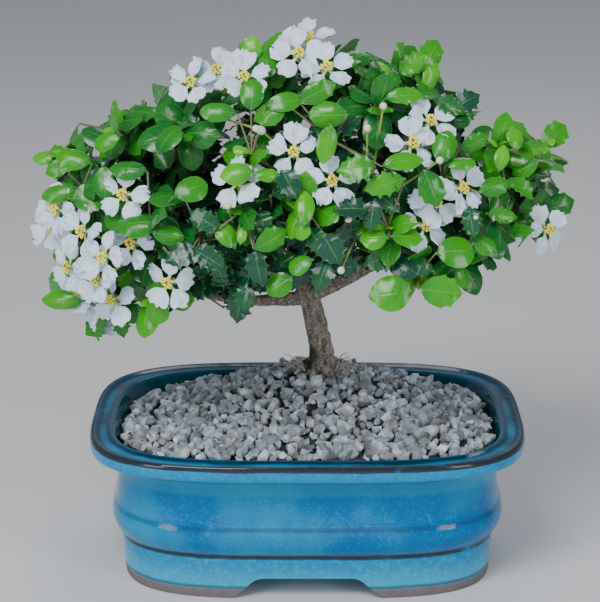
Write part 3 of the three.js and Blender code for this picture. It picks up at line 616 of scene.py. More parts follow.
def stone_material(settings):
    """Angular grey stone, each one of its own shade."""
    paint = Paint("stone", 0.82, specular=0.3)
    tone = paint.attribute("tone")
    grain = paint.cloud(900, 4, 0.7)
    blotch = paint.cloud(260, 3)
    shade = paint.ramp(
        tone,
        (0.0, (0.19, 0.215, 0.235)),
        (0.3, (0.36, 0.415, 0.465)),
        (0.6, settings.stone_colour),
        (0.85, (0.62, 0.72, 0.8)),
        (1.0, (0.76, 0.87, 0.95)),
    )
    warm = paint.mix(paint.cloud(110, 2).step(0.52, 0.66) * 0.6, shade, (0.44, 0.39, 0.36))
    fleck = paint.mix(grain.step(0.55, 0.75) * 0.5, warm, (0.62, 0.68, 0.72))
    paint.colour(paint.mix(blotch.step(0.6, 0.42) * 0.5, fleck, (0.07, 0.076, 0.088)))
    paint.relief(grain + blotch * 0.6, 0.55, 0.0006)
    return paint.material


def bed_material():
    """The bed between the stones, painted near black as the shade in the gaps."""
    paint = Paint("gravel_bed", 0.95, specular=0.2)
    grit = paint.cells(420)
    # Painted shade: a near black bed, so that the gaps between the stones look shaded.
    paint.colour(paint.mix(grit, (0.012, 0.013, 0.015), (0.06, 0.063, 0.068)))
    paint.relief(grit, 0.9, 0.0012)
    return paint.material


def bark_material(settings):
    """Grey brown bark with pale flecks, a darker foot and a near-black hollow low on its left, mossy green
    and painted shade.
    """
    paint = Paint("bark", 0.85, specular=0.25)
    place = paint.place()
    ridges = paint.cloud(1, 6, 0.65, paint.stretched((420, 420, 130)))
    patches = paint.cloud(150, 4, 0.6)
    flecks = paint.cells(380).step(0.28, 0.12)
    pits = paint.cloud(1000, 4, 0.75)
    colour = paint.ramp(
        ridges,
        (0.3, (0.05, 0.038, 0.03)),
        (0.46, settings.bark_colour),
        (0.6, (0.42, 0.37, 0.32)),
        (0.76, (0.62, 0.58, 0.52)),
    )
    colour = paint.mix(patches.step(0.55, 0.7) * 0.55, colour, (0.4, 0.37, 0.33))
    colour = paint.mix(patches.step(0.42, 0.3) * 0.5, colour, (0.08, 0.052, 0.038))
    colour = paint.mix(flecks * 0.8, colour, (0.7, 0.66, 0.58))
    colour = paint.mix(pits.step(0.52, 0.62) * 0.65, colour, (0.68, 0.62, 0.54))
    colour = paint.mix(pits.step(0.46, 0.34) * 0.7, colour, (0.045, 0.034, 0.028))
    height = paint.part_of(place, "Z") * 1000
    left = (paint.part_of(place, "X") * 1000).step(9, 2)
    # Painted shade with a mossy tint: the hollow low on the trunk's left goes near black.
    moss_and_hollow_shade = height.step(102, 92) * paint.cloud(140, 3).step(0.38, 0.52) * left
    colour = paint.mix(moss_and_hollow_shade * 0.92, colour, (0.016, 0.018, 0.009))
    foot = height.step(90, 80) * 0.5
    paint.colour(paint.mix(foot, colour, (0.055, 0.042, 0.03)))
    paint.relief(ridges + patches * 0.6 + flecks * 0.2 + pits * 0.5, 1.0, 0.0016)
    return paint.material


def twig_material(settings):
    """Thin young wood, green near its leaves."""
    paint = Paint("twig", 0.6)
    tone = paint.attribute("tone")
    grain = paint.cloud(1, 4, 0.6, paint.stretched((700, 700, 200)))
    old = paint.mix(grain, settings.bark_colour, (0.2, 0.14, 0.09))
    paint.colour(paint.mix(tone.step(0.3, 0.8) * 0.7, old, (0.14, 0.2, 0.04)))
    paint.relief(grain, 0.5, 0.0004)
    return paint.material


def leaf_material(settings, is_upper):
    """A glossy leaf with its rib, faint side veins, pale edge and painted shade towards its base. The tone
    runs from old to young, and its brightest end is lifted to a painted highlight.
    """
    if is_upper:
        paint = Paint("leaf_upper", 0.3, specular=0.4, coat=0.2)
    else:
        paint = Paint("leaf_under", 0.5, specular=0.4)
    along = paint.surface("X")
    across = abs(paint.surface("Y") - 0.5) * 2
    tone = paint.attribute("tone")
    mottle = paint.cloud(200, 3)
    # Mottle varies the tone at random; the slight rise from base to tip is painted shade.
    shade = tone + (mottle - 0.5) * 0.14 + (along - 0.5) * 0.06
    # The tender stop at the top is the youngest leaves' green lifted to a painted highlight.
    upper = paint.ramp(
        shade,
        (0.08, settings.dark_colour),
        (0.46, settings.green_colour),
        (0.76, settings.young_colour),
        (0.98, settings.tender_and_highlight_colour),
    )
    rib = across.step(0.09, 0.02) * along.step(1.0, 0.6)
    slant = (along - across * 0.3) * 34
    veins = slant.math("SINE", slant).step(0.8, 1.0) * across.step(0.9, 0.5)
    edge = across.step(0.93, 1.0)
    if is_upper:
        # Painted shade: the blade darkens towards its base.
        colour = paint.mix(along.step(0.5, 0) * 0.4, upper, settings.dark_colour)
        colour = paint.mix(veins * 0.06, colour, (0.2, 0.45, 0.06))
        colour = paint.mix(rib * 0.22, colour, (0.24, 0.5, 0.08))
        colour = paint.mix(edge * 0.2, colour, (0.3, 0.55, 0.08))
        paint.relief(rib * -1.0 - veins * 0.5 + paint.cloud(200, 2) * 0.4, 0.22, 0.0004)
        paint.roughness(mottle * 0.12 + 0.2)
    else:
        pale = paint.mix(0.45, upper, (0.2, 0.4, 0.2))
        colour = paint.mix(veins * 0.2 + rib * 0.5, pale, (0.42, 0.58, 0.32))
        paint.relief(rib + veins * 0.6, 0.5, 0.0004)
    paint.colour(colour)
    return paint.material


def petal_material(settings):
    """A crinkled white petal with painted blue shade in its folds, greenish at its claw."""
    paint = Paint("petal", 0.6, specular=0.3)
    along = paint.surface("X")
    across = abs(paint.surface("Y") - 0.5) * 2
    crinkle = paint.cloud(520, 4, 0.65)
    # Painted shade: the crinkle's hollows turn blue.
    colour = paint.mix(crinkle.step(0.6, 0.35) * 0.5, settings.petal_colour, (0.42, 0.6, 0.82))
    colour = paint.mix(along.step(0.36, 0.12) * 0.6, colour, (0.62, 0.72, 0.42))
    colour = paint.mix(across.step(0.12, 0.0) * along.step(0.8, 0.4) * 0.3, colour, (0.66, 0.74, 0.66))
    paint.colour(colour)
    paint.relief(crinkle + paint.cloud(1400, 2) * 0.3, 0.6, 0.0007)
    return paint.material


def plain_material(name, low, high, scale):
    """A small soft part whose colour wanders between two shades."""
    paint = Paint(name, 0.6)
    grain = paint.cloud(scale, 3)
    paint.colour(paint.mix(grain, low, high))
    paint.relief(grain, 0.4, 0.0003)
    return paint.material


def floor_material(settings):
    """A plain pale floor."""
    paint = Paint("floor", 0.75, specular=0.3)
    grain = paint.cloud(6, 3)
    low = tuple(0.97 * value for value in settings.floor_colour[:3])
    paint.colour(paint.mix(grain, low, settings.floor_colour))
    return paint.material


# Sizes and colours


def metres(name, description, default):
    """A setting in metres."""
    return bpy.props.FloatProperty(
        name=name, description=description, default=default, min=0, unit="LENGTH", subtype="DISTANCE",
        precision=4,
    )


def tint(name, description, default):
    """A setting with a colour."""
    return bpy.props.FloatVectorProperty(
        name=name, description=description, default=default, size=3, min=0, max=1, subtype="COLOR"
    )


def whole_number(name, description, default):
    """A setting with a whole number."""
    return bpy.props.IntProperty(name=name, description=description, default=default, min=1)


def watts(name, description, default):
    """A setting with a lamp's power in watts."""
    return bpy.props.FloatProperty(name=name, description=description, default=default, min=0, unit="POWER")


class PotSettings(bpy.types.PropertyGroup):
    """Sizes of the pot and colours of its glaze."""

    half_length: metres("Half length", "From the middle to the outside of the body", 0.09)
    half_width: metres("Half width", "From the middle to the front of the body", 0.0615)
    roundness: bpy.props.FloatProperty(
        name="Roundness", description="Power of the outline", default=POT_ROUNDNESS
    )
    sides: whole_number("Sides", "Steps round the outline", 132)
    body_colour: tint("Body", "Glaze on the wall", (0.0, 0.21, 0.44))
    deep_colour: tint("Deep", "Glaze where it is thick", (0.0, 0.105, 0.35))
    lip_colour: tint("Lip", "Glaze on the band under the rim", (0.0, 0.25, 0.5))
    neck_colour: tint("Neck", "Glaze in the hollow under the lip", (0.0, 0.15, 0.3))
    rim_colour: tint("Rim", "Glaze in the rim's channel", (0.0, 0.03, 0.065))
    skirt_colour: tint("Skirt", "Glaze under the belt", (0.02, 0.43, 0.68))
    iron_colour: tint("Iron", "Brown where the glaze breaks over edges", (0.022, 0.014, 0.012))
    clay_colour: tint("Clay", "Bare clay of the foot", (0.125, 0.11, 0.118))


class GravelSettings(bpy.types.PropertyGroup):
    """Sizes and colour of the gravel."""

    stone_size: metres("Stone size", "Middle size of a stone", 0.0064)
    spacing: metres("Spacing", "Distance between the stones of a layer", 0.0056)
    edge_height: metres("Edge height", "Height of the bed at the back wall", 0.06)
    front_rise: metres("Front rise", "How much higher the bed lies in front", 0.006)
    mound_rise: metres("Mound rise", "Height of the mound at the trunk", 0.019)
    stone_colour: tint("Stone", "Middle shade of the stones", (0.48, 0.56, 0.63))


class WoodSettings(bpy.types.PropertyGroup):
    """Detail and colour of the wood."""

    grain: metres("Grain", "Size of the smallest lump of bark", 0.0006)
    bark_depth: metres("Bark depth", "Depth of the bark's furrows", 0.0007)
    bark_colour: tint("Bark", "Middle shade of the bark", (0.27, 0.225, 0.185))


class LeafSettings(bpy.types.PropertyGroup):
    """Numbers and colours of the leaves."""

    twig_shoots: whole_number("Twig shoots", "Side shoots on each twig", 6)
    branch_shoots: whole_number("Branch shoots", "Short shoots on 60 mm of branch", 16)
    dark_colour: tint("Dark", "Oldest leaves", (0.002, 0.058, 0.036))
    green_colour: tint("Green", "Full grown leaves", (0.006, 0.15, 0.012))
    young_colour: tint("Young", "Young leaves", (0.032, 0.3, 0.003))
    # The youngest leaves' green, lifted to a painted highlight.
    tender_and_highlight_colour: tint("Tender", "Youngest leaves", (0.11, 0.5, 0.008))


class FlowerSettings(bpy.types.PropertyGroup):
    """Colours of the flowers."""

    petal_colour: tint("Petal", "White of the petals", (0.72, 0.84, 0.94))
    anther_colour: tint("Anther", "Yellow of the anthers", (1.0, 0.84, 0.02))


class StageSettings(bpy.types.PropertyGroup):
    """Floor, lights and camera."""

    floor_colour: tint("Floor", "Plain pale floor", (0.7, 0.7, 0.71))
    key_power: watts("Key light", "Power of the main light", 9.5)
    fill_power: watts("Fill light", "Power of the side lights", 4)
    sky: bpy.props.FloatProperty(name="Sky", description="Strength of the even light", default=0.36)


# The pot

# Outline of the pot's wall, in millimetres: how far out from the body, and how high.
POT_WALL = [
    # Inner face of the foot ring and the foot
    (-12, 11), (-11.6, 5), (-11.2, 1), (-10.6, 0.1), (-9.6, 0), (-4.4, 0), (-3.6, 0.2), (-3.2, 0.9),
    # Lower wall up to the iron line
    (-3, 4), (-2.6, 10), (-2.2, 16), (-1.9, 19.8), (-2.1, 21.2),
    # Belt
    (-1.5, 22.4), (-0.3, 23.8), (0.9, 25.8), (1.8, 28.2), (2.2, 30.8), (1.9, 33.2), (1.1, 35.4), (0.4, 37.2),
    # Body and neck
    (0, 40), (-0.4, 44), (-0.7, 49), (-0.6, 53), (0, 56), (1.4, 58.7), (3.6, 60.6), (6.4, 61.8), (9, 62.3),
    # Lip
    (10.4, 62.6), (11.2, 63.2), (11.5, 64.2), (11.55, 66), (11.5, 68), (11.25, 69.2), (10.7, 69.9), (10, 70),
    # Channelled rim top and its inner edge
    (9.2, 69.75), (8, 69.2), (6.4, 68.85), (4.6, 68.85), (3.2, 69.25), (2.2, 69.75), (1.4, 69.95),
    (0.7, 69.6),
    # Inner wall and floor
    (0.1, 68.6), (-1.2, 65.6), (-3.4, 62), (-5.2, 57), (-6.1, 48), (-6.5, 24), (-7.6, 19), (-10, 17),
]
INNER_RINGS = 8
ARCH_HEIGHT = 10.5
FRONT_ARCH = {"width": 76, "top_width": 39, "depth": 200}
SIDE_ARCH = {"width": 40, "top_width": 20, "depth": 260}
DRAIN_RADIUS = 7
DRAIN_OFFSET = 42


def pot_outline(settings, offset, height):
    """One level outline of the pot, in metres, offset out from the body's."""
    bend = 2 / settings.roundness
    points = []
    for i in range(settings.sides):
        turn = (i + 0.5) / settings.sides * 2 * math.pi
        x, y = (math.copysign(abs(value) ** bend, value) for value in (math.cos(turn), math.sin(turn)))
        half_length, half_width = settings.half_length + offset * MM, settings.half_width + offset * MM
        points.append(Vector((half_length * x, half_width * y, height * MM)))
    return points


def arch_cutter(width, top_width, depth):
    """The opening between two feet, as a solid along Y that runs past both walls."""
    steps = 9
    side = []
    for step in range(steps + 1):
        share = step / steps
        eased = share**3 * (share * (share * 6 - 15) + 10)
        side.append((width / 2 + (top_width - width) / 2 * share, ARCH_HEIGHT * eased))
    outline = [(-x, z) for x, z in side] + [(x, z) for x, z in reversed(side)]
    outline += [(width / 2, -2), (0, -2), (-width / 2, -2), (-width / 2, -1)]
    bpy.ops.mesh.primitive_circle_add(vertices=len(outline), radius=1, fill_type="NGON")
    cutter = bpy.context.object
    for vertex, (x, z) in zip(cutter.data.vertices, outline):
        vertex.co = Vector((x, -depth / 2, z)) * MM
    bpy.ops.object.mode_set(mode="EDIT")
    bpy.ops.mesh.select_all(action="SELECT")
    bpy.ops.mesh.extrude_region_move(TRANSFORM_OT_translate={"value": (0, depth * MM, 0)})
    bpy.ops.mesh.select_all(action="SELECT")
    bpy.ops.mesh.normals_make_consistent(inside=False)
    bpy.ops.object.mode_set(mode="OBJECT")
    return cutter


class BONSAI_OT_pot(bpy.types.Operator):
    """Models the glazed pot: drawn up ring by ring from its foot, with arches and drain holes cut"""

    bl_idname = "bonsai.pot"
    bl_label = "Pot"

    def execute(self, context):
        settings = context.scene.bonsai_pot
        deselect()
        bpy.ops.mesh.primitive_circle_add(vertices=settings.sides, radius=1)
        pot = bpy.context.object
        first = pot_outline(settings, *POT_WALL[0])
        for vertex, point in zip(pot.data.vertices, first):
            vertex.co = point
        bpy.ops.object.mode_set(mode="EDIT")
        bpy.ops.mesh.select_all(action="SELECT")
        bpy.ops.mesh.edge_face_add()
        bpy.ops.mesh.select_all(action="SELECT")
        mesh = bmesh.from_edit_mesh(pot.data)
        for face in mesh.faces:
            face.select = False
        for edge in mesh.edges:
            edge.select = True
        for name in ("reach", "inside"):
            mesh.verts.layers.float.new(name)
        reach = mesh.verts.layers.float["reach"]
        for vertex in mesh.verts:
            vertex[reach] = POT_WALL[0][0]
        for ring_number, (offset, height) in enumerate(POT_WALL[1:], 1):
            is_inside = ring_number >= len(POT_WALL) - INNER_RINGS
            self.raise_ring(pot, pot_outline(settings, offset, height), offset, is_inside)
        bpy.ops.mesh.edge_face_add()
        bpy.ops.mesh.select_all(action="SELECT")
        bpy.ops.mesh.normals_make_consistent(inside=False)
        bpy.ops.object.mode_set(mode="OBJECT")
        self.cut(pot, arch_cutter(**FRONT_ARCH))
        side_arch = arch_cutter(**SIDE_ARCH)
        side_arch.data.transform(Matrix.Rotation(math.pi / 2, 4, "Z"))
        self.cut(pot, side_arch)
        for place in (-DRAIN_OFFSET * MM, DRAIN_OFFSET * MM):
            bpy.ops.mesh.primitive_cylinder_add(
                vertices=40, radius=DRAIN_RADIUS * MM, depth=0.02, location=(place, 0, 0.014)
            )
            self.cut(pot, bpy.context.object)
        only(pot)
        bpy.ops.object.shade_smooth_by_angle(angle=math.radians(42))
        settle(pot, "pot_glazed", [glaze_material(settings)], "glaze", "pot")
        repaint("soil", soil_material())
        return {"FINISHED"}

    @staticmethod
    def raise_ring(pot, ring, offset, is_inside):
        """Draws the wall's edge on to its next ring."""
        bpy.ops.mesh.extrude_edges_move()
        mesh = bmesh.from_edit_mesh(pot.data)
        reach = mesh.verts.layers.float["reach"]
        inside = mesh.verts.layers.float["inside"]
        raised = [vertex for vertex in mesh.verts if vertex.select]
        raised.sort(key=lambda vertex: math.atan2(vertex.co.y, vertex.co.x) % (2 * math.pi))
        for vertex, point in zip(raised, ring):
            vertex.co = point
            vertex[reach] = offset
            vertex[inside] = is_inside
        bmesh.update_edit_mesh(pot.data)

    @staticmethod
    def cut(pot, cutter):
        """Cuts the cutter's form out of the pot."""
        finish_with(pot, "BOOLEAN", operation="DIFFERENCE", object=cutter, solver="EXACT")
        bpy.data.objects.remove(cutter)


# The gravel

LARGE_STONE_SPACING = 12
STONE_KINDS = 10
STONE_CUTS = 11
BED_HALF_LENGTH = 92
BED_HALF_WIDTH = 62
MOUND_SPREAD = 38
INNER_EDGE_HEIGHT = 68.6
WALL_LEAN = 0.52
TRUNK_MIDDLE = (6, 23)
TRUNK_ROOM = 7.6


def bed_height(settings, x, y):
    """Height of the gravel's surface at a place, all in millimetres."""
    away = (x - TRUNK_FOOT.x) ** 2 + (y - TRUNK_FOOT.y) ** 2
    forward = min(max(0.5 - y / 123, 0), 1)
    mound = settings.mound_rise / MM * math.exp(-away / (2 * MOUND_SPREAD**2))
    return settings.edge_height / MM + settings.front_rise / MM * forward + mound


def stone_shape(seed):
    """An angular stone: a block with flat chips cut off."""
    draw = lifelike(seed)
    deselect()
    bpy.ops.mesh.primitive_cube_add(size=1.5)
    stone = bpy.context.object
    bpy.ops.object.mode_set(mode="EDIT")
    for _ in range(STONE_CUTS):
        turn, rise = next(draw) * 2 * math.pi, next(draw) * 2 - 1
        level = math.sqrt(1 - rise * rise)
        normal = Vector((level * math.cos(turn), level * math.sin(turn), rise))
        bpy.ops.mesh.select_all(action="SELECT")
        bpy.ops.mesh.bisect(
            plane_co=normal * (0.62 + 0.2 * next(draw)), plane_no=normal, use_fill=True, clear_outer=True
        )
    bpy.ops.mesh.select_all(action="SELECT")
    bpy.ops.mesh.remove_doubles(threshold=0.12)
    bpy.ops.mesh.convex_hull()
    bpy.ops.object.mode_set(mode="OBJECT")
    return Shape(stone)


class BONSAI_OT_gravel(bpy.types.Operator):
    """Lays the gravel: angular stones heaped on a bed painted near black as the shade between them"""

    bl_idname = "bonsai.gravel"
    bl_label = "Gravel"

    def execute(self, context):
        settings = context.scene.bonsai_gravel
        pot = context.scene.bonsai_pot
        stones = [stone_shape(40 + i) for i in range(STONE_KINDS)]
        draw = lifelike(5)
        bunch = Bunch()
        size = settings.stone_size / MM / 2
        spacing = settings.spacing / MM
        layers = [(spacing, 0.7, 1), (spacing * 1.1, 1.9, 0.95), (LARGE_STONE_SPACING, 2.4, 1.2)]
        for spacing, lift, swell in layers:
            self.lay(bunch, stones, draw, settings, pot, size * swell, spacing, lift)
        gravel = bunch.piece(46)
        settle(gravel, "gravel_stones", [stone_material(settings)], "gravel")
        repaint("gravel", bed_material())
        return {"FINISHED"}

    @staticmethod
    def lay(bunch, stones, draw, settings, pot, size, spacing, lift):
        """Lays one layer of stones on a jittered grid, clear of the pot's wall and the trunk."""
        row_height = spacing * 0.866
        rows = int(2 * BED_HALF_WIDTH / row_height)
        columns = int(2 * BED_HALF_LENGTH / spacing)
        for row in range(rows + 1):
            for column in range(columns + 1):
                x = (column - columns / 2 + row % 2 / 2) * spacing + (next(draw) - 0.5) * spacing * 0.7
                y = (row - rows / 2) * row_height + (next(draw) - 0.5) * spacing * 0.7
                own = size * (0.66 + 0.75 * next(draw) ** 1.6)
                turns = [next(draw) * 2 * math.pi for _ in range(3)]
                flat = 0.6 + 0.32 * next(draw)
                shape = stones[int(next(draw) * len(stones))]
                tone = next(draw)
                height = bed_height(settings, x, y)
                margin = 0.6 + own * 0.5 + max(0, INNER_EDGE_HEIGHT - height) * WALL_LEAN
                room_x = pot.half_length / MM - margin
                room_y = pot.half_width / MM - margin
                if abs(x / room_x) ** POT_ROUNDNESS + abs(y / room_y) ** POT_ROUNDNESS > 1:
                    continue
                if math.dist((x, y), TRUNK_MIDDLE) < TRUNK_ROOM + own * 0.4:
                    continue
                turn = Matrix.Rotation(turns[0], 3, "X") @ Matrix.Rotation(turns[1], 3, "Y")
                turn = Matrix.Rotation(turns[2], 3, "Z") @ turn
                axes = [turn.col[0] * own, turn.col[1] * own * flat, turn.col[2] * own * 0.62]
                height += lift + (next(draw) - 0.5) * 1.4
                bunch.add(shape, axes, (x, y, height), tone)


# The wood


class BONSAI_OT_wood(bpy.types.Operator):
    """Grows the trunk, limbs and branches as one body with furrowed bark, and fine rootlets"""

    bl_idname = "bonsai.wood"
    bl_label = "Wood"

    def execute(self, context):
        settings = context.scene.bonsai_wood
        deselect()
        rods = []
        limbs = [(points, radii, 7) for points, radii in BRANCHES.values()]
        limbs += [(points, SPUR_RADII, 6) for points in ROOT_SPURS]
        for points, radii, pieces in limbs:
            steps = pieces * (len(points) - 1)
            path = curve_points(points, steps)
            rods.append(round_rod(path, [radius_along(radii, i / steps) for i in range(steps + 1)], 3))
        deselect()
        for rod in rods:
            rod.select_set(True)
        wood = rods[0]
        bpy.context.view_layer.objects.active = wood
        bpy.ops.object.join()
        wood.data.transform(Matrix.Scale(MM, 4))
        finish_with(wood, "REMESH", mode="VOXEL", voxel_size=settings.grain)
        finish_with(wood, "SMOOTH", factor=0.6, iterations=5)
        self.furrow(wood, settings.bark_depth)
        wood.data.polygons.foreach_set("use_smooth", [True] * len(wood.data.polygons))
        settle(wood, "wood_bark", [bark_material(settings)], "bark", "wood")
        self.rootlets()
        return {"FINISHED"}

    @staticmethod
    def furrow(wood, depth):
        """Raises ridges, knots and the swollen foot on the bark."""
        normals = [vertex.normal.copy() for vertex in wood.data.vertices]
        for vertex, normal in zip(wood.data.vertices, normals):
            place = vertex.co / MM
            thick = min(1, max(0.25, (150 - place.z) / 60))
            ridge = noise.fractal(Vector((place.x * 0.5, place.y * 0.5, place.z * 0.16)), 0.8, 2.0, 4)
            lump = noise.noise(place * 0.16)
            vertex.co += normal * depth * thick * (ridge * 0.9 + lump * 0.8)
        wood.data.update()

    @staticmethod
    def rootlets():
        """Pale dead rootlets and grass stems round the trunk's foot."""
        draw = lifelike(77)
        bunch = Bunch()
        for i in range(22):
            side = -1 if i % 2 else 1
            turn = math.radians(-90 + side * (35 + 75 * next(draw)))
            foot = Vector((TRUNK_FOOT.x + 8 * math.cos(turn), TRUNK_FOOT.y + 8 * math.sin(turn), 82))
            reach = 5 + 9 * next(draw)
            end = foot + Vector((math.cos(turn), math.sin(turn), 0)) * reach * 0.8
            end.z = 83 + 9 * next(draw)
            middle = (foot + end) / 2 + Vector((0, 0, 2 + 3 * next(draw)))
            path = curve_points([foot, middle, end], 6)
            rod = round_rod(path, [0.32 - 0.035 * k for k in range(7)], 0)
            bunch.add(Shape(rod), np.eye(3), (0, 0, 0), next(draw))
        rootlets = bunch.piece(60)
        pale = plain_material("rootlet", (0.3, 0.26, 0.21), (0.6, 0.55, 0.47), 300)
        settle(rootlets, "rootlets", [pale], "bark")


# Leaves

# Outline of a blade's side: share of the length, and share of the half width.
LEAF_EDGES = {
    "smooth": [
        (0, 0.08), (0.04, 0.1), (0.09, 0.34), (0.17, 0.62), (0.28, 0.86), (0.42, 1), (0.56, 1.04),
        (0.7, 1), (0.82, 0.84), (0.92, 0.56), (0.98, 0.26), (1, 0.06),
    ],
    "mild": [
        (0, 0.08), (0.04, 0.1), (0.09, 0.34), (0.18, 0.66), (0.3, 0.9), (0.44, 1), (0.57, 1.1),
        (0.61, 0.96), (0.7, 0.9), (0.78, 0.96), (0.82, 0.7), (0.9, 0.42), (1, 0.02),
    ],
    "spiny": [
        (0, 0.08), (0.05, 0.1), (0.11, 0.44), (0.18, 0.7), (0.245, 1), (0.285, 0.78), (0.37, 0.84),
        (0.46, 1.16), (0.505, 0.86), (0.59, 0.82), (0.67, 1.08), (0.715, 0.7), (0.83, 0.62), (0.88, 0.34),
        (1, 0.02),
    ],
}
# Widths as shares of the length, and places on the scale from old leaves to young ones.
LEAF_WIDTHS = {"smooth": 0.62, "mild": 0.6, "spiny": 0.62}
TONES = {"dark": 0.12, "green": 0.46, "young": 0.74}
LEAF_KINDS = 6
SHOOT_STEP = 6.2
CHOSEN_SHARE = 0.93

# Leaves that stand out in the photograph, in millimetres: middle, heading on the picture in degrees,
# length, kind, tone and share of the usual width.
CHOSEN_LEAVES = [
    (-111, -30, 134, 182, 21, "smooth", 0.78, 0.68), (-67, -54, 138, 255, 15, "smooth", 0.76, 1.3),
    (-93, -34, 124, 245, 15, "spiny", 0.56, 1.1), (-84, -38, 126, 285, 14, "spiny", 0.54, 1),
    (36, -70, 150, 188, 20, "smooth", 0.76, 1.15), (57, -70, 151, -8, 20, "mild", 0.76, 1.2),
    (67, -64, 156, -70, 11, "smooth", 0.7, 1.3), (42, -64, 160, 150, 16, "smooth", 0.1, 1),
    (28, -75, 176, 180, 13, "smooth", 0.82, 1.15), (42, -73, 176, 0, 15, "mild", 0.78, 1.1),
    (-2, -79, 190, 92, 17, "smooth", 0.84, 0.8), (-3, -80, 181, -90, 9, "smooth", 0.82, 1.3),
    (-30, -74, 204, 188, 15, "smooth", 0.84, 1.05), (-18, -75, 204, 8, 11, "smooth", 0.82, 1),
    (-34, -76, 177, 120, 13, "smooth", 0.78, 1.2), (-28, -79, 178, 80, 8, "smooth", 0.92, 0.9),
    (-16, -78, 176, 28, 17, "mild", 0.68, 1), (-3, -80, 166, 200, 12, "smooth", 0.7, 1.2),
    (-12, -77, 156, 215, 14, "smooth", 0.66, 1), (-27, -73, 149, 262, 13, "spiny", 0.16, 1.1),
    (-24, -36, 250, 105, 12, "smooth", 0.86, 1.2), (-18, -38, 243, 85, 14, "smooth", 0.62, 1.2),
    (-84, -42, 220, 110, 13, "spiny", 0.76, 1.1), (-87, -42, 211, 200, 14, "smooth", 0.72, 1),
    (-119, -8, 196, 178, 12, "smooth", 0.86, 0.95), (-103, -34, 201, 165, 18, "mild", 0.74, 0.95),
    (-111, -22, 194, 205, 15, "mild", 0.7, 0.9), (-109, -32, 185, 188, 19, "smooth", 0.66, 0.8),
    (-96, -42, 185, 5, 17, "mild", 0.62, 1.2), (-73, -66, 180, 178, 22, "smooth", 0.56, 0.95),
    (-60, -70, 176, -12, 15, "smooth", 0.6, 0.95), (-60, -64, 191, 170, 17, "smooth", 0.5, 1),
    (46, -32, 243, 38, 18, "spiny", 0.8, 0.9), (34, -36, 242, 130, 10, "smooth", 0.9, 0.9),
    (53, -37, 237, 62, 16, "mild", 0.84, 0.75), (41, -50, 232, 8, 18, "mild", 0.76, 0.75),
    (4, -56, 235, 28, 19, "mild", 0.64, 0.8), (9, -60, 226, 182, 18, "smooth", 0.7, 0.9),
    (-16, -58, 227, 200, 17, "smooth", 0.68, 1), (-38, -54, 226, 176, 17, "smooth", 0.62, 0.8),
    (-24, -52, 233, 88, 15, "smooth", 0.62, 1), (-10, -58, 231, 12, 18, "smooth", 0.66, 0.8),
    (8, -70, 216, 262, 18, "smooth", 0.82, 0.7), (61, -45, 227, -22, 16, "spiny", 0.36, 1),
    (100, -28, 204, 6, 19, "spiny", 0.78, 0.8), (91, -36, 210, 92, 11, "smooth", 0.84, 1.25),
    (84, -46, 204, 78, 13, "smooth", 0.9, 0.8), (96, -34, 197, 205, 14, "mild", 0.72, 0.95),
    (72, -46, 211, 22, 15, "mild", 0.66, 0.75), (58, -60, 212, 75, 16, "smooth", 0.66, 1.15),
    (65, -60, 205, 10, 14, "smooth", 0.74, 0.8), (40, -70, 208, 12, 20, "smooth", 0.8, 0.8),
    (32, -73, 199, 196, 20, "spiny", 0.78, 0.85), (52, -70, 197, -65, 18, "mild", 0.54, 1.05),
    (20, -74, 206, 185, 18, "spiny", 0.74, 0.9), (-60, -58, 215, 60, 16, "smooth", 0.52, 1.1),
    (-50, -70, 196, 22, 16, "smooth", 0.62, 1.1), (80, -57, 194, 18, 16, "mild", 0.62, 0.8),
    (92, -48, 191, -30, 16, "spiny", 0.68, 0.85), (84, -56, 181, -8, 15, "spiny", 0.66, 0.85),
    (63, -68, 168, 5, 18, "smooth", 0.68, 1.2), (76, -62, 170, -25, 13, "smooth", 0.62, 1.1),
    (93, -48, 172, 8, 14, "spiny", 0.6, 0.85), (-77, -58, 202, 172, 18, "smooth", 0.52, 0.75),
    (-88, -52, 194, 100, 16, "smooth", 0.54, 1), (-42, -78, 168, -30, 18, "spiny", 0.14, 1),
    (-21, -79, 164, -82, 18, "spiny", 0.12, 1.05), (-54, -74, 168, 200, 16, "spiny", 0.1, 1),
    (10, -78, 172, -62, 17, "spiny", 0.12, 1.1), (18, -76, 189, 178, 16, "spiny", 0.1, 1.1),
    (6, -77, 160, 250, 15, "spiny", 0.16, 1), (27, -75, 186, -100, 15, "spiny", 0.14, 1.1),
    (-44, -75, 184, 150, 16, "spiny", 0.18, 1), (-8, -76, 200, -60, 15, "spiny", 0.12, 1.1),
    (34, -68, 190, -40, 14, "spiny", 0.2, 1), (70, -64, 180, -80, 15, "spiny", 0.22, 1),
]


def on_picture(point):
    """Where the photograph shows a place, in pixels."""
    offset = point - CAMERA_AIM
    scale = PICTURE_SCALE / ((CAMERA_EYE - CAMERA_AIM).length - offset.dot(PICTURE_OUT))
    return PICTURE_MIDDLE[0] + scale * offset.x, PICTURE_MIDDLE[1] - scale * offset.dot(PICTURE_UP)


# The crown's top and underside in the photograph, in pixels.
CROWN_TOP = [
    (26, 148), (60, 138), (100, 108), (150, 98), (185, 78), (235, 46), (290, 28), (340, 42), (400, 50),
    (440, 84), (470, 110), (520, 128), (558, 142),
]
CROWN_UNDER = [
    (26, 305), (60, 322), (120, 330), (170, 312), (200, 300), (300, 292), (340, 272), (400, 262),
    (430, 286), (480, 284), (520, 258), (558, 240),
]
# The egg that the crown keeps to, in millimetres: the height where it is widest and its reach each way.
CROWN_BELT = 168
CROWN_REACH = {"length": 121, "width": 81, "up": 91, "down": 50}
CROWN_FLOOR = 128
# Where leaves are bright: the height of the dull middle and how far the outline is from it.
SUNLIT = {"height": 158, "aside": 115, "up": 92}
# The room that leaves leave to a bloom, in millimetres, and the share of a leaf's length added to it.
BLOOM_ROOM = {"near": 40, "behind": 4, "aside": 7.5, "leaf_share": 0.42}


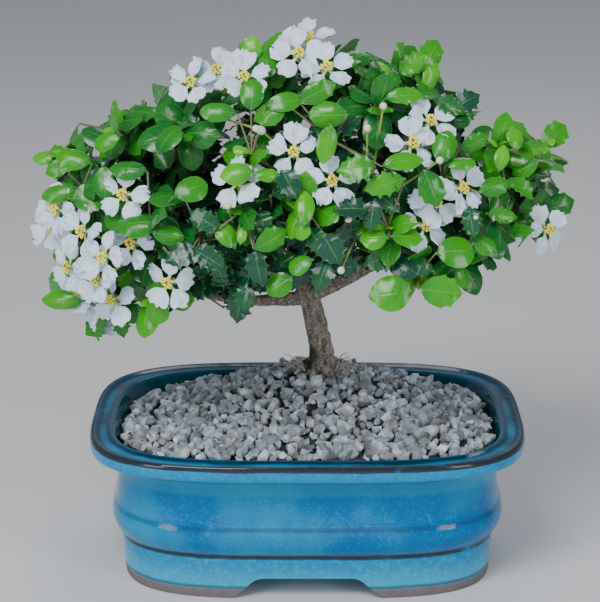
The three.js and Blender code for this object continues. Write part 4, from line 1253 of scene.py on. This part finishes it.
def blade_shape(edge, columns, width, thickness, form):
    """A blade one long along X, drawn from a grid and given its thickness."""
    rows = len(edge) - 1
    deselect()
    bpy.ops.mesh.primitive_grid_add(x_subdivisions=rows, y_subdivisions=columns, size=1)
    blade = bpy.context.object
    mesh = blade.data
    surface = {}
    for vertex in mesh.vertices:
        row = round((vertex.co.x + 0.5) * rows)
        column = round((vertex.co.y + 0.5) * columns)
        across = 2 * column / columns - 1
        share, half = edge[row]
        surface[vertex.index] = (share, (across + 1) / 2)
        vertex.co = form(share, across, half * width / 2, row)
    for corner in mesh.loops:
        mesh.uv_layers[0].data[corner.index].uv = surface[corner.vertex_index]
    for name in ("upper", "under"):
        mesh.materials.append(bpy.data.materials.get(name) or bpy.data.materials.new(name))
    finish_with(blade, "SOLIDIFY", thickness=thickness, offset=0, material_offset=1)
    return Shape(blade)


def refined(edge):
    """The outline with one more point between each two, on a smooth curve."""
    path = curve_points([(share, half, 0) for share, half in edge], 2 * (len(edge) - 1))
    return [(point.x, max(0.03, point.y)) for point in path]


def leaf_shape(kind, seed, columns):
    """A leaf: arched, folded along its rib, with a smooth or a wavy spiny edge."""
    draw = lifelike(seed)
    fold = 0.24 + 0.5 * next(draw)
    curl = 0.5 * next(draw)
    twist = (next(draw) - 0.5) * 0.5
    arch = LEAF_RISE * (0.8 + 1.5 * next(draw))
    width = LEAF_WIDTHS[kind] * (0.92 + 0.18 * next(draw))
    taper = max(0, next(draw) - 0.5) if kind == "smooth" else 0
    fullness = (next(draw) - 0.5) * 0.4
    edge = LEAF_EDGES[kind]
    if kind == "smooth" and columns > 2:
        edge = refined(edge)
    waves = [(next(draw) - 0.5) * (0.1 if kind == "spiny" else 0.035) for _ in edge]

    def form(share, across, half, row):
        before = edge[max(row - 1, 0)][1]
        after = edge[min(row + 1, len(edge) - 1)][1]
        here = edge[row][1]
        is_spine = here > before + 0.05 and here > after + 0.05
        if is_spine and abs(across) < 0.9:
            half *= (before + after) / 2 / here
        half *= 1 + fullness * (share - 0.5) - taper * max(0, share - 0.5) ** 2 / 0.25
        aside = across * half
        height = arch * (share - 1.6 * share**2) + fold * abs(aside) - curl * aside * aside * 6
        height += waves[row] * across**2 + twist * aside * share
        if is_spine and abs(across) > 0.9:
            height += 0.05 if row % 2 else -0.04
        return Vector((share, aside, height))

    return blade_shape(edge, columns, width, 0.026, form)


class KnownPlaces:
    """Places kept in coarse cells, so that the nearest one is found quickly."""

    cell_size = 12

    def __init__(self):
        self.cells = {}

    def cell(self, point):
        """The cell that holds a point."""
        return tuple(int(value // self.cell_size) for value in point)

    def add(self, point):
        self.cells.setdefault(self.cell(point), []).append(point)

    def nearest(self, point):
        """How far the nearest place is, up to the size of a cell."""
        best = self.cell_size
        for cell in itertools.product(*((i - 1, i, i + 1) for i in self.cell(point))):
            for other in self.cells.get(cell, ()):
                best = min(best, (other - point).length)
        return best


class Foliage:
    """The leaves of all sprays: the modelled ones and what has been hung so far."""

    def __init__(self):
        self.fine = self.model_leaves(300, 4)
        self.plain = self.model_leaves(400, 2)
        self.stick = stick_shape(6)
        self.bunches = {name: Bunch() for name in SPRAYS}
        self.tips = {name: Vector(row[0]) for name, row in SPRAYS.items()}
        self.middles = KnownPlaces()
        self.blooms = [Vector(centre) for centres in UMBELS.values() for centre in centres]
        self.carriers = []

    @staticmethod
    def model_leaves(seed, columns):
        """A few leaves of each kind, with a number of columns of faces."""
        return {
            kind: [leaf_shape(kind, seed + 20 * order + i, columns) for i in range(LEAF_KINDS)]
            for order, kind in enumerate(LEAF_EDGES)
        }

    def nearest_spray(self, point):
        """The name of the spray whose tip is nearest."""
        return min(self.tips, key=lambda name: (self.tips[name] - point).length)

    def hides_bloom(self, middle, size):
        """Whether a leaf would lie on a bloom or before it."""
        for centre in self.blooms:
            away = middle - centre
            if away.length > BLOOM_ROOM["near"]:
                continue
            look = PICTURE_OUT if centre.y < 0 else -PICTURE_OUT
            ahead = away.dot(look)
            aside = (away - look * ahead).length
            room = BLOOM_ROOM["aside"] + BLOOM_ROOM["leaf_share"] * size
            if ahead > -BLOOM_ROOM["behind"] and aside < room:
                return True
        return False

    def is_in_crown(self, middle, tip):
        """Whether a leaf keeps to the crown that the photograph shows."""
        reach = CROWN_REACH["down" if tip.z < CROWN_BELT else "up"]
        away = (tip.x - CROWN_MIDDLE.x) / CROWN_REACH["length"], tip.y / CROWN_REACH["width"]
        if Vector((*away, (tip.z - CROWN_BELT) / reach)).length > 1:
            return False
        x, y = on_picture(tip)
        is_seen_in = np.interp(x, *zip(*CROWN_TOP)) < y < np.interp(x, *zip(*CROWN_UNDER))
        return is_seen_in and tip.z > CROWN_FLOOR and middle.z > CROWN_FLOOR + 2

    def hang(self, spray, kind, root, x, z, size, tone, draw, slim=1.0, is_free=False):
        """Hangs a leaf. A free one is left out where others, a bloom or the crown's edge are in its way."""
        x = x.normalized()
        z = (z - x * z.dot(x)).normalized()
        y = z.cross(x)
        middle = root + x * size * 0.55
        pick = int(next(draw) * LEAF_KINDS)
        if is_free:
            if self.middles.nearest(middle) < 0.36 * size or self.hides_bloom(middle, size):
                return False
            if not self.is_in_crown(middle, root + x * size):
                return False
        self.middles.add(middle)
        shape = (self.plain if is_free else self.fine)[kind][pick]
        self.bunches[spray].add(shape, (x * size, y * size * slim, z * size), root, tone)
        return True

    def twig(self, spray, start, end, radius, tone):
        """A thin straight twig."""
        way = end - start
        across, above = across_frame(way.normalized())
        self.bunches[spray].add(self.stick, (across * radius, above * radius, way), start, tone, 2)

    def shoot(self, foot, way, length, size, tone, draw):
        """A short shoot with pairs of leaves down from its tip."""
        end = foot + way * length
        spray = self.nearest_spray(end)
        across, above = across_frame(way)
        turn = next(draw) * math.pi
        reached = None
        for pair in range(1 + int(length / SHOOT_STEP)):
            angle = turn + pair * math.pi / 2
            out = across * math.cos(angle) + above * math.sin(angle)
            for side in (1, -1):
                root = end - way * (pair * SHOOT_STEP + 0.4) + out * side * 0.4
                x, z = leaf_axes(root, out * side, way, 0.6 * (next(draw) - 0.5), 0, 0)
                own_tone = tone - 0.05 * pair + 0.1 * (next(draw) - 0.5)
                kind = "spiny" if own_tone < 0.3 else "mild" if next(draw) < 0.35 else "smooth"
                own_size = size * (0.85 + 0.3 * next(draw))
                if self.hang(spray, kind, root, x, z, own_size, own_tone, draw, is_free=True) and not reached:
                    reached = end - way * pair * SHOOT_STEP
        if reached:
            self.twig(spray, foot, reached, 0.5, tone)


def light_at(point):
    """The way a leaf's face turns at a place in the crown."""
    outward = (point - CROWN_MIDDLE).normalized()
    return (outward * 0.8 + UP * 0.7 + FRONT * 0.3).normalized()


def sunlit(point):
    """How bright the leaves are: 0 low in the middle of the crown, 1 at its outline."""
    aside = (point.x - CROWN_MIDDLE.x) / SUNLIT["aside"]
    return min(1, math.hypot(aside, (point.z - SUNLIT["height"]) / SUNLIT["up"]))


def branch_points():
    """Points along the branches from which a twig may grow."""
    result = []
    for name, (points, radii) in BRANCHES.items():
        if name == "trunk":
            continue
        steps = int((1.5 if radii[0] > 3 else 1) * (len(points) - 1) + 0.5)
        knots = curve_points(points, steps)
        for here, there in zip(knots, knots[1:]):
            result += [here.lerp(there, share) for share in (0.2, 0.4, 0.6, 0.8, 1)]
    return result


def node_tree(node):
    """The corner points of a CAD node, for finding the nearest."""
    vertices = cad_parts[node].data.vertices
    tree = KDTree(len(vertices))
    for vertex in vertices:
        tree.insert(vertex.co / MM, vertex.index)
    tree.balance()
    return tree


def leaf_rows(start, row, seed):
    """Where each leaf of a spray sits: root, outward way, twig's way, size, lean and pair."""
    tip, pairs, leaf, turn = row[:4]
    draw = lifelike(seed)
    end = Vector(tip)
    way = end - start
    along = way.normalized()
    across, above = across_frame(along)
    room = int((way.length - 4) / PAIR_SPACING) + 1
    rows = []
    for pair in range(min(pairs, room)):
        for face in (1, 3) if pair % 2 else (0, 2):
            size = leaf * (1 + LEAF_LEANS["size"] * (next(draw) - 0.5))
            lean = LEAF_LEANS["lean"] * (next(draw) - 0.5)
            angle = math.radians(turn) + face * math.pi / 2
            out = across * math.cos(angle) + above * math.sin(angle)
            back = pair * PAIR_SPACING + BLADE_THICKNESS / 2
            radius = TWIG_RADIUS * (1 + (STEM_SWELL - 1) * back / way.length) * math.cos(math.pi / 4)
            rows.append((end - along * back + out * radius, out, along, size, lean, pair))
    return rows


def leaf_axes(root, out, along, lean, sway, droop):
    """The way a leaf points and the way it faces."""
    light = light_at(root)
    facing = light * (-1 if light.dot(along) < 0 else 1) + along * LEAF_LEANS["towards_tip"]
    way = out + out.cross(along) * sway + along * LEAF_LEANS["forward"] + UP * (lean + droop)
    x = way.normalized()
    return x, (facing - x * facing.dot(x)).normalized()


def closest_form(tree, row):
    """The sway and droop that bring a leaf's tip nearest to the solid's, and how near."""
    root, out, along, size, lean = row[:5]
    forms = []
    for sway, droop in itertools.product(LEAF_SWAYS, LEAF_DROOPS):
        x, z = leaf_axes(root, out, along, lean, sway, droop)
        tip = root + x * size + z * (-0.6 * LEAF_RISE * size + BLADE_THICKNESS / 2)
        forms.append((tree.find(tip)[2], x, z))
    return min(forms, key=lambda form: form[0])


class BONSAI_OT_leaves(bpy.types.Operator):
    """Hangs the leaves: those of each spray in its place, and short shoots that fill the crown"""

    bl_idname = "bonsai.leaves"
    bl_label = "Leaves"

    def execute(self, context):
        settings = context.scene.bonsai_leaf
        foliage = Foliage()
        starts = branch_points()
        twigs = []
        for order, (name, row) in enumerate(SPRAYS.items()):
            twigs.append(self.dress(foliage, name, row, 100 + order, starts))
        foliage.carriers += starts
        self.hang_chosen(foliage)
        self.fill_twigs(foliage, twigs, settings.twig_shoots)
        self.fill_branches(foliage, settings.branch_shoots)
        upper = leaf_material(settings, True)
        under = leaf_material(settings, False)
        twig = twig_material(context.scene.bonsai_wood)
        for name, row in SPRAYS.items():
            piece = foliage.bunches[name].piece(50)
            settle(piece, f"leaves_{name}", [upper, under, twig], f"{row[5]}_leaf", f"spray_{name}")
        return {"FINISHED"}

    @staticmethod
    def dress(foliage, name, row, seed, starts):
        """Hangs a spray's leaves where its solid has them, with a tender pair at the tip."""
        tree = node_tree(f"spray_{name}")
        end = Vector(row[0])
        near = sorted(starts, key=lambda point: (point - end).length)
        near = [point for point in near if (point - end).length > 16 and tree.find(point)[2] < 8]

        def miss_from(point):
            return sum(closest_form(tree, leaf)[0] for leaf in leaf_rows(point, row, seed))

        start = min(near, key=miss_from)
        draw = lifelike(seed + 500)
        base = TONES[row[5]]
        kind = "mild" if row[4] == "spiny" and row[5] != "dark" else row[4]
        foliage.twig(name, start, end, TWIG_RADIUS * 0.8, base)
        for leaf in leaf_rows(start, row, seed):
            miss, x, z = closest_form(tree, leaf)
            tone = base + 0.2 * (next(draw) - 0.5) - 0.05 * leaf[5]
            is_free = miss > 3.5
            foliage.hang(name, kind, leaf[0], x, z, leaf[3], tone, draw, is_free=is_free)
        along = (end - start).normalized()
        across = across_frame(along)[0]
        for side in (1, -1):
            way = along + across * side * 0.6
            size = 6.5 + 3 * next(draw)
            foliage.hang(name, "smooth", end, way, light_at(end), size, base + 0.2, draw)
        foliage.carriers += [start.lerp(end, share / 6) for share in range(7)]
        return start, end

    @staticmethod
    def hang_chosen(foliage):
        """Hangs the leaves that stand out in the photograph, each on a stalk from the nearest twig."""
        draw = lifelike(31)
        for x, y, z, heading, size, kind, tone, slim in CHOSEN_LEAVES:
            middle = Vector((x, y, z))
            size *= CHOSEN_SHARE
            slim *= 0.88 + 0.24 * next(draw)
            turn = math.radians(heading)
            way = Vector((math.cos(turn), 0, 0)) + PICTURE_UP * math.sin(turn)
            way += PICTURE_OUT * 0.25 * (next(draw) - 0.3)
            way.normalize()
            tilt = Vector([next(draw) - 0.5 for _ in range(3)])
            face = PICTURE_OUT * 0.75 + light_at(middle) * 0.7 + tilt * 1.4
            root = middle - way * size * 0.5
            foot = min(foliage.carriers, key=lambda point: (point - root).length)
            spray = foliage.nearest_spray(middle)
            foliage.hang(spray, kind, root, way, face, size, tone, draw, slim=slim)
            foliage.twig(spray, foot, root, 0.42, tone)

    @staticmethod
    def fill_twigs(foliage, twigs, count):
        """Side shoots along the sprays' twigs."""
        draw = lifelike(23)
        for start, end in twigs:
            along = (end - start).normalized()
            across, above = across_frame(along)
            for i in range(count):
                share = 0.25 + 0.7 * (i + next(draw)) / count
                foot = start.lerp(end, share)
                turn = next(draw) * 2 * math.pi
                aside = across * math.cos(turn) + above * math.sin(turn)
                outward = (foot - CROWN_MIDDLE).normalized()
                way = (aside + along * 0.5 + outward * 0.6).normalized()
                # Tone by place: older leaves and painted shade deep in the crown, brighter young leaves at
                # its outline.
                tone = 0.05 + 0.62 * sunlit(foot) * (0.45 + 0.55 * share) + 0.12 * (next(draw) - 0.5)
                foliage.shoot(foot, way, 6 + 11 * next(draw), 14.5, tone, draw)

    @staticmethod
    def fill_branches(foliage, count):
        """Short shoots along the branches, with darker leaves inside and brighter ones outside: older leaves
        and painted shade deep in the crown.
        """
        draw = lifelike(9)
        for name, (points, _) in BRANCHES.items():
            if name == "trunk":
                continue
            path = curve_points(points, 40)
            spread = sum((there - here).length for here, there in zip(path, path[1:]))
            for _ in range(int(count * spread / 60)):
                share = 0.25 + 0.75 * next(draw)
                foot = path[int(share * 40)]
                turn, rise = next(draw) * 2 * math.pi, next(draw) * 1.5 - 0.4
                aside = Vector((math.cos(turn), math.sin(turn), rise)).normalized()
                outward = (foot - CROWN_MIDDLE).normalized()
                way = (aside + outward * 0.6 + UP * 0.25).normalized()
                length = 8 + 26 * next(draw)
                end = foot + way * length
                # Tone by place: older leaves and painted shade deep in the crown, brighter young leaves at
                # its outline.
                tone = 0.04 + 0.5 * sunlit(end) ** 1.4 + 0.14 * (next(draw) - 0.5)
                foliage.shoot(foot, way, length, 14, tone, draw)


# Flowers

# Places in the list of a bloom's materials, after the petal's two.
GREEN, ANTHER, BUD = 2, 3, 4
SEPAL_TURN = 0.63
# Outline of a petal's side: share of the length, and share of the half width.
PETAL_EDGE = [
    (0, 0.15), (0.15, 0.12), (0.28, 0.16), (0.36, 0.5), (0.46, 0.82), (0.58, 0.98),
    (0.72, 1.02), (0.85, 0.94), (0.95, 0.72), (1, 0.42),
]


def petal_shape(seed):
    """A clawed petal with a crumpled, frayed blade."""
    draw = lifelike(seed)
    phase = next(draw) * 6.3
    ripple = 0.045 + 0.045 * next(draw)
    fold = (next(draw) - 0.45) * 0.5
    roll = (next(draw) - 0.5) * 0.3
    width = BLOOM["petal_width"] * (0.86 + 0.22 * next(draw))
    frays = {}

    def form(share, across, half, row):
        aside = across * half
        wide = min(1, max(0, share - 0.25) * 2)
        height = BLOOM["petal_rise"] * (share - 1.6 * share**2)
        height += wide * ripple * math.sin(phase + across * 5.2 + share * 4)
        height += wide * ripple * 0.8 * math.cos(phase * 2 + across * 9 - share * 7)
        height += wide * (fold * abs(aside) + roll * aside)
        fray = frays.setdefault((row, round(across, 2)), next(draw) - 0.5)
        rim = 1 if share > 0.94 or (abs(across) > 0.9 and share > 0.4) else 0
        reach = share + rim * 0.17 * fray - 0.05 * across**2 * (share > 0.9)
        return Vector((reach, aside * (1 + rim * 0.2 * fray), height))

    return blade_shape(PETAL_EDGE, 6, width, 0.03, form)


def ball_shape(stretch, segments, rings):
    """A small egg, one high, standing on the origin."""
    deselect()
    bpy.ops.mesh.primitive_uv_sphere_add(
        segments=segments, ring_count=rings, radius=0.5, location=(0, 0, 0.5)
    )
    egg = bpy.context.object
    bpy.ops.object.transform_apply(location=True)
    egg.data.transform(Matrix.Diagonal((stretch, stretch, 1, 1)))
    return Shape(egg)


def bloom_facing(centre):
    """The way a bloom looks."""
    outward = (centre - CROWN_MIDDLE).normalized()
    return (outward + FRONT * (0.9 if centre.y < 0 else 0) + UP * 0.25).normalized()


class BONSAI_OT_flowers(bpy.types.Operator):
    """Opens the flowers: crumpled petals, yellow anthers, green calyx and stalks, with round buds"""

    bl_idname = "bonsai.flowers"
    bl_label = "Flowers"

    def execute(self, context):
        settings = context.scene.bonsai_flower
        self.petals = [petal_shape(900 + i) for i in range(9)]
        self.grain = ball_shape(0.6, 6, 4)
        self.sepal = ball_shape(0.5, 8, 6)
        self.bud = ball_shape(0.95, 14, 10)
        self.stick = stick_shape(5)
        petal = petal_material(settings)
        green = plain_material("calyx", (0.2, 0.36, 0.05), (0.42, 0.56, 0.14), 500)
        anther = plain_material("anther", settings.anther_colour, (1.0, 0.94, 0.12), 900)
        bud = plain_material("bud", (0.62, 0.7, 0.45), (0.8, 0.84, 0.74), 300)
        starts = branch_points()
        bunches = {name: Bunch() for name in UMBELS}
        for place in LOOSE_BUDS:
            centre = Vector(place)
            name = min(UMBELS, key=lambda name: (Vector(UMBELS[name][0]) - centre).length)
            foot = min(starts, key=lambda point: (point - centre).length)
            self.hang_bud(bunches[name], centre, foot, LOOSE_BUD_SIZE)
        for order, (name, centres) in enumerate(UMBELS.items()):
            bunch = bunches[name]
            self.open_umbel(bunch, name, [Vector(c) for c in centres], 1000 + 10 * order, starts)
            piece = bunch.piece(50)
            settle(piece, f"flowers_{name}", [petal, petal, green, anther, bud], "petal", f"bloom_{name}")
        return {"FINISHED"}

    def open_umbel(self, bunch, name, centres, seed, starts):
        """Opens the blooms of one umbel on stalks that part at a fork."""
        tree = node_tree(f"bloom_{name}")
        facings = [bloom_facing(centre) for centre in centres]
        feet = [centre - facing * BLOOM["calyx_height"] for centre, facing in zip(centres, facings)]
        buds = [Vector(centre) for centre in BUDS.get(name, [])]
        is_forked = len(centres) + len(buds) > 1
        ends = [foot - facing * BLOOM["stalk_length"] for foot, facing in zip(feet, facings)]
        fork = sum(ends, Vector()) / len(ends)
        start = self.stalk_start(tree, starts, fork if is_forked else feet[0])
        if is_forked:
            self.rod(bunch, start, fork, BLOOM["stalk_radius"] * STEM_SWELL)
        foot_of_stalks = fork if is_forked else start
        for i, (centre, facing, foot) in enumerate(zip(centres, facings, feet)):
            self.open_bloom(bunch, tree, centre, facing, seed + i)
            self.rod(bunch, foot_of_stalks, foot, BLOOM["stalk_radius"])
            self.rod(bunch, foot, centre, BLOOM["stalk_radius"] * 1.3)
        for centre in buds:
            self.hang_bud(bunch, centre, foot_of_stalks, BUD_SIZE)

    @staticmethod
    def stalk_start(tree, starts, end):
        """The branch point from which the solid's stalk comes."""
        near = sorted(starts, key=lambda point: (point - end).length)
        for point in near:
            far = (end - point).length
            if far > 8 and tree.find(point.lerp(end, min(0.9, 4 / far)))[2] < 3.5:
                return point
        raise RuntimeError("A flower stalk has no branch to grow from")

    def hang_bud(self, bunch, centre, foot, size):
        """A round bud with its calyx, on a stalk from the foot."""
        way = (centre - foot).normalized()
        self.rod(bunch, foot, centre, BLOOM["stalk_radius"] * 0.8)
        across, above = across_frame(way)
        axes = across * size, above * size
        bunch.add(self.bud, (*axes, way * size), centre - way * size / 2, slot=BUD)
        bunch.add(self.sepal, (*axes, way * size * 0.7), centre - way * size * 0.65, slot=GREEN)

    def rod(self, bunch, start, end, radius):
        """A thin green stalk."""
        way = end - start
        across, above = across_frame(way.normalized())
        bunch.add(self.stick, (across * radius, above * radius, way), start, slot=GREEN)

    def open_bloom(self, bunch, tree, centre, facing, seed):
        """Opens one bloom: petals and sepals in a ring, and a head of stamens."""
        draw = lifelike(seed)
        across, above = across_frame(facing)
        turn = next(draw) * 2 * math.pi
        sizes = [BLOOM["petal_length"] * (0.92 + 0.16 * next(draw)) for _ in range(BLOOM["petals"])]
        for petal, size in enumerate(sizes):
            angle = turn + petal / BLOOM["petals"] * 2 * math.pi
            out = across * math.cos(angle) + above * math.sin(angle)
            root = centre + out * BLOOM["hub_radius"] * math.cos(math.pi / 5)
            x, z = self.petal_axes(tree, root, out, facing, size)
            aside = z.cross(x)
            x = (x + aside * 0.3 * (next(draw) - 0.5) + facing * 0.5 * (next(draw) - 0.4)).normalized()
            roll = 0.9 * (next(draw) - 0.5)
            z = (z - x * z.dot(x)).normalized()
            z = (z * math.cos(roll) + z.cross(x) * math.sin(roll)).normalized()
            y = z.cross(x)
            size *= 1.02 + 0.1 * next(draw)
            shape = self.petals[int(next(draw) * len(self.petals))]
            bunch.add(shape, (x * size, y * size, z * size), root - out * 0.5)
            sepal_out = across * math.cos(angle + SEPAL_TURN) + above * math.sin(angle + SEPAL_TURN)
            sepal_way = (sepal_out - facing * 0.1).normalized()
            side, top = across_frame(sepal_way)
            bunch.add(self.sepal, (side * 2, top * 2, sepal_way * 2.6), centre - facing * 1.1, slot=GREEN)
        for i in range(BLOOM["stamens"]):
            angle = turn + i * 2.4
            lean = 0.95 * math.sqrt((i + 0.5) / BLOOM["stamens"])
            way = (facing + (across * math.cos(angle) + above * math.sin(angle)) * lean).normalized()
            end = centre + way * (2.6 + 0.9 * next(draw))
            self.rod(bunch, centre, end, BLOOM["stamen_radius"])
            side, top = across_frame(way)
            width = 2.1 + 0.5 * next(draw)
            bunch.add(self.grain, (side * width, top * width, way * 1.5), end - way * 0.3, slot=ANTHER)

    @staticmethod
    def petal_axes(tree, root, out, facing, size):
        """A petal's ways, cupped as the solid's petal is."""
        forms = []
        for cup in BLOOM["cups"]:
            x = (out + facing * cup).normalized()
            z = (facing - x * facing.dot(x)).normalized()
            corner = root + x * size + z.cross(x) * 0.6 * BLOOM["petal_width"] * size / 2
            corner += z * (BLADE_THICKNESS / 2 - 0.6 * BLOOM["petal_rise"] * size)
            forms.append((tree.find(corner)[2], x, z))
        return min(forms, key=lambda form: form[0])[1:]


# The stage

# The lamps beside the key light: place, width and height in metres, and share of the fill power.
FILL_LAMPS = {
    "left_window": ((-0.75, -0.85, 0.55), 0.3, 0.6, 1),
    "right_window": ((0.75, -0.85, 0.55), 0.3, 0.6, 1),
    "front": ((0, -1.4, 0.25), 0.9, 0.4, 0.25),
    "back": ((0.25, 0.8, 1.1), 0.6, 0.3, 0.6),
}
SKY_COLOUR = (0.86, 0.93, 1.0, 1)
LAMP_AIM = Vector((0, 0, 0.13))


class BONSAI_OT_stage(bpy.types.Operator):
    """Sets the plain floor, the soft studio lights and the camera at the photograph's angle"""

    bl_idname = "bonsai.stage"
    bl_label = "Stage"

    def execute(self, context):
        settings = context.scene.bonsai_stage
        deselect()
        bpy.ops.mesh.primitive_plane_add(size=12)
        floor = bpy.context.object
        floor.name = "floor"
        floor.data.materials.append(floor_material(settings))
        world = bpy.data.worlds.new("studio")
        world.use_nodes = True
        background = world.node_tree.nodes["Background"]
        background.inputs["Color"].default_value = SKY_COLOUR
        background.inputs["Strength"].default_value = settings.sky
        context.scene.world = world
        self.lamp("key", (-0.35, -0.75, 1.05), 0.55, 0.4, settings.key_power)
        for name, (place, width, height, share) in FILL_LAMPS.items():
            self.lamp(name, place, width, height, settings.fill_power * share)
        camera = bpy.data.cameras.new("camera")
        camera.lens = CAMERA_LENS
        camera.sensor_width = SENSOR_WIDTH
        camera.clip_start = 10 * MM
        eye = bpy.data.objects.new("camera", camera)
        eye.location = CAMERA_EYE * MM
        eye.rotation_euler = (math.radians(CAMERA_TILT), 0, 0)
        context.scene.collection.objects.link(eye)
        context.scene.camera = eye
        return {"FINISHED"}

    @staticmethod
    def lamp(name, place, width, height, power):
        """A soft rectangular lamp that looks at the tree."""
        light = bpy.data.lights.new(name, "AREA")
        light.shape = "RECTANGLE"
        light.size = width
        light.size_y = height
        light.energy = power
        lamp = bpy.data.objects.new(name, light)
        lamp.location = place
        aim = LAMP_AIM - Vector(place)
        lamp.rotation_euler = aim.to_track_quat("-Z", "Y").to_euler()
        bpy.context.scene.collection.objects.link(lamp)


class BONSAI_PT_panel(bpy.types.Panel):
    """Lists the steps that dress the bonsai."""

    bl_label = "Bonsai"
    bl_idname = "BONSAI_PT_panel"
    bl_space_type = "VIEW_3D"
    bl_region_type = "UI"
    bl_category = "Bonsai"

    def draw(self, context):
        for step in STEPS:
            self.layout.operator(step.bl_idname)


SETTINGS = {
    "bonsai_pot": PotSettings,
    "bonsai_gravel": GravelSettings,
    "bonsai_wood": WoodSettings,
    "bonsai_leaf": LeafSettings,
    "bonsai_flower": FlowerSettings,
    "bonsai_stage": StageSettings,
}
STEPS = (
    BONSAI_OT_stage,
    BONSAI_OT_pot,
    BONSAI_OT_gravel,
    BONSAI_OT_wood,
    BONSAI_OT_leaves,
    BONSAI_OT_flowers,
)


def register():
    """Adds the settings, the steps and the panel to Blender."""
    for group in (*SETTINGS.values(), *STEPS, BONSAI_PT_panel):
        bpy.utils.register_class(group)
    for name, group in SETTINGS.items():
        setattr(bpy.types.Scene, name, bpy.props.PointerProperty(type=group))


def unregister():
    """Takes them out again."""
    for name in SETTINGS:
        delattr(bpy.types.Scene, name)
    for group in reversed((*SETTINGS.values(), *STEPS, BONSAI_PT_panel)):
        bpy.utils.unregister_class(group)


def main():
    """Dresses the bonsai, step by step."""
    register()
    bpy.ops.bonsai.stage()
    bpy.ops.bonsai.pot()
    bpy.ops.bonsai.gravel()
    bpy.ops.bonsai.wood()
    bpy.ops.bonsai.leaves()
    bpy.ops.bonsai.flowers()


if __name__ == "__main__":
    main()
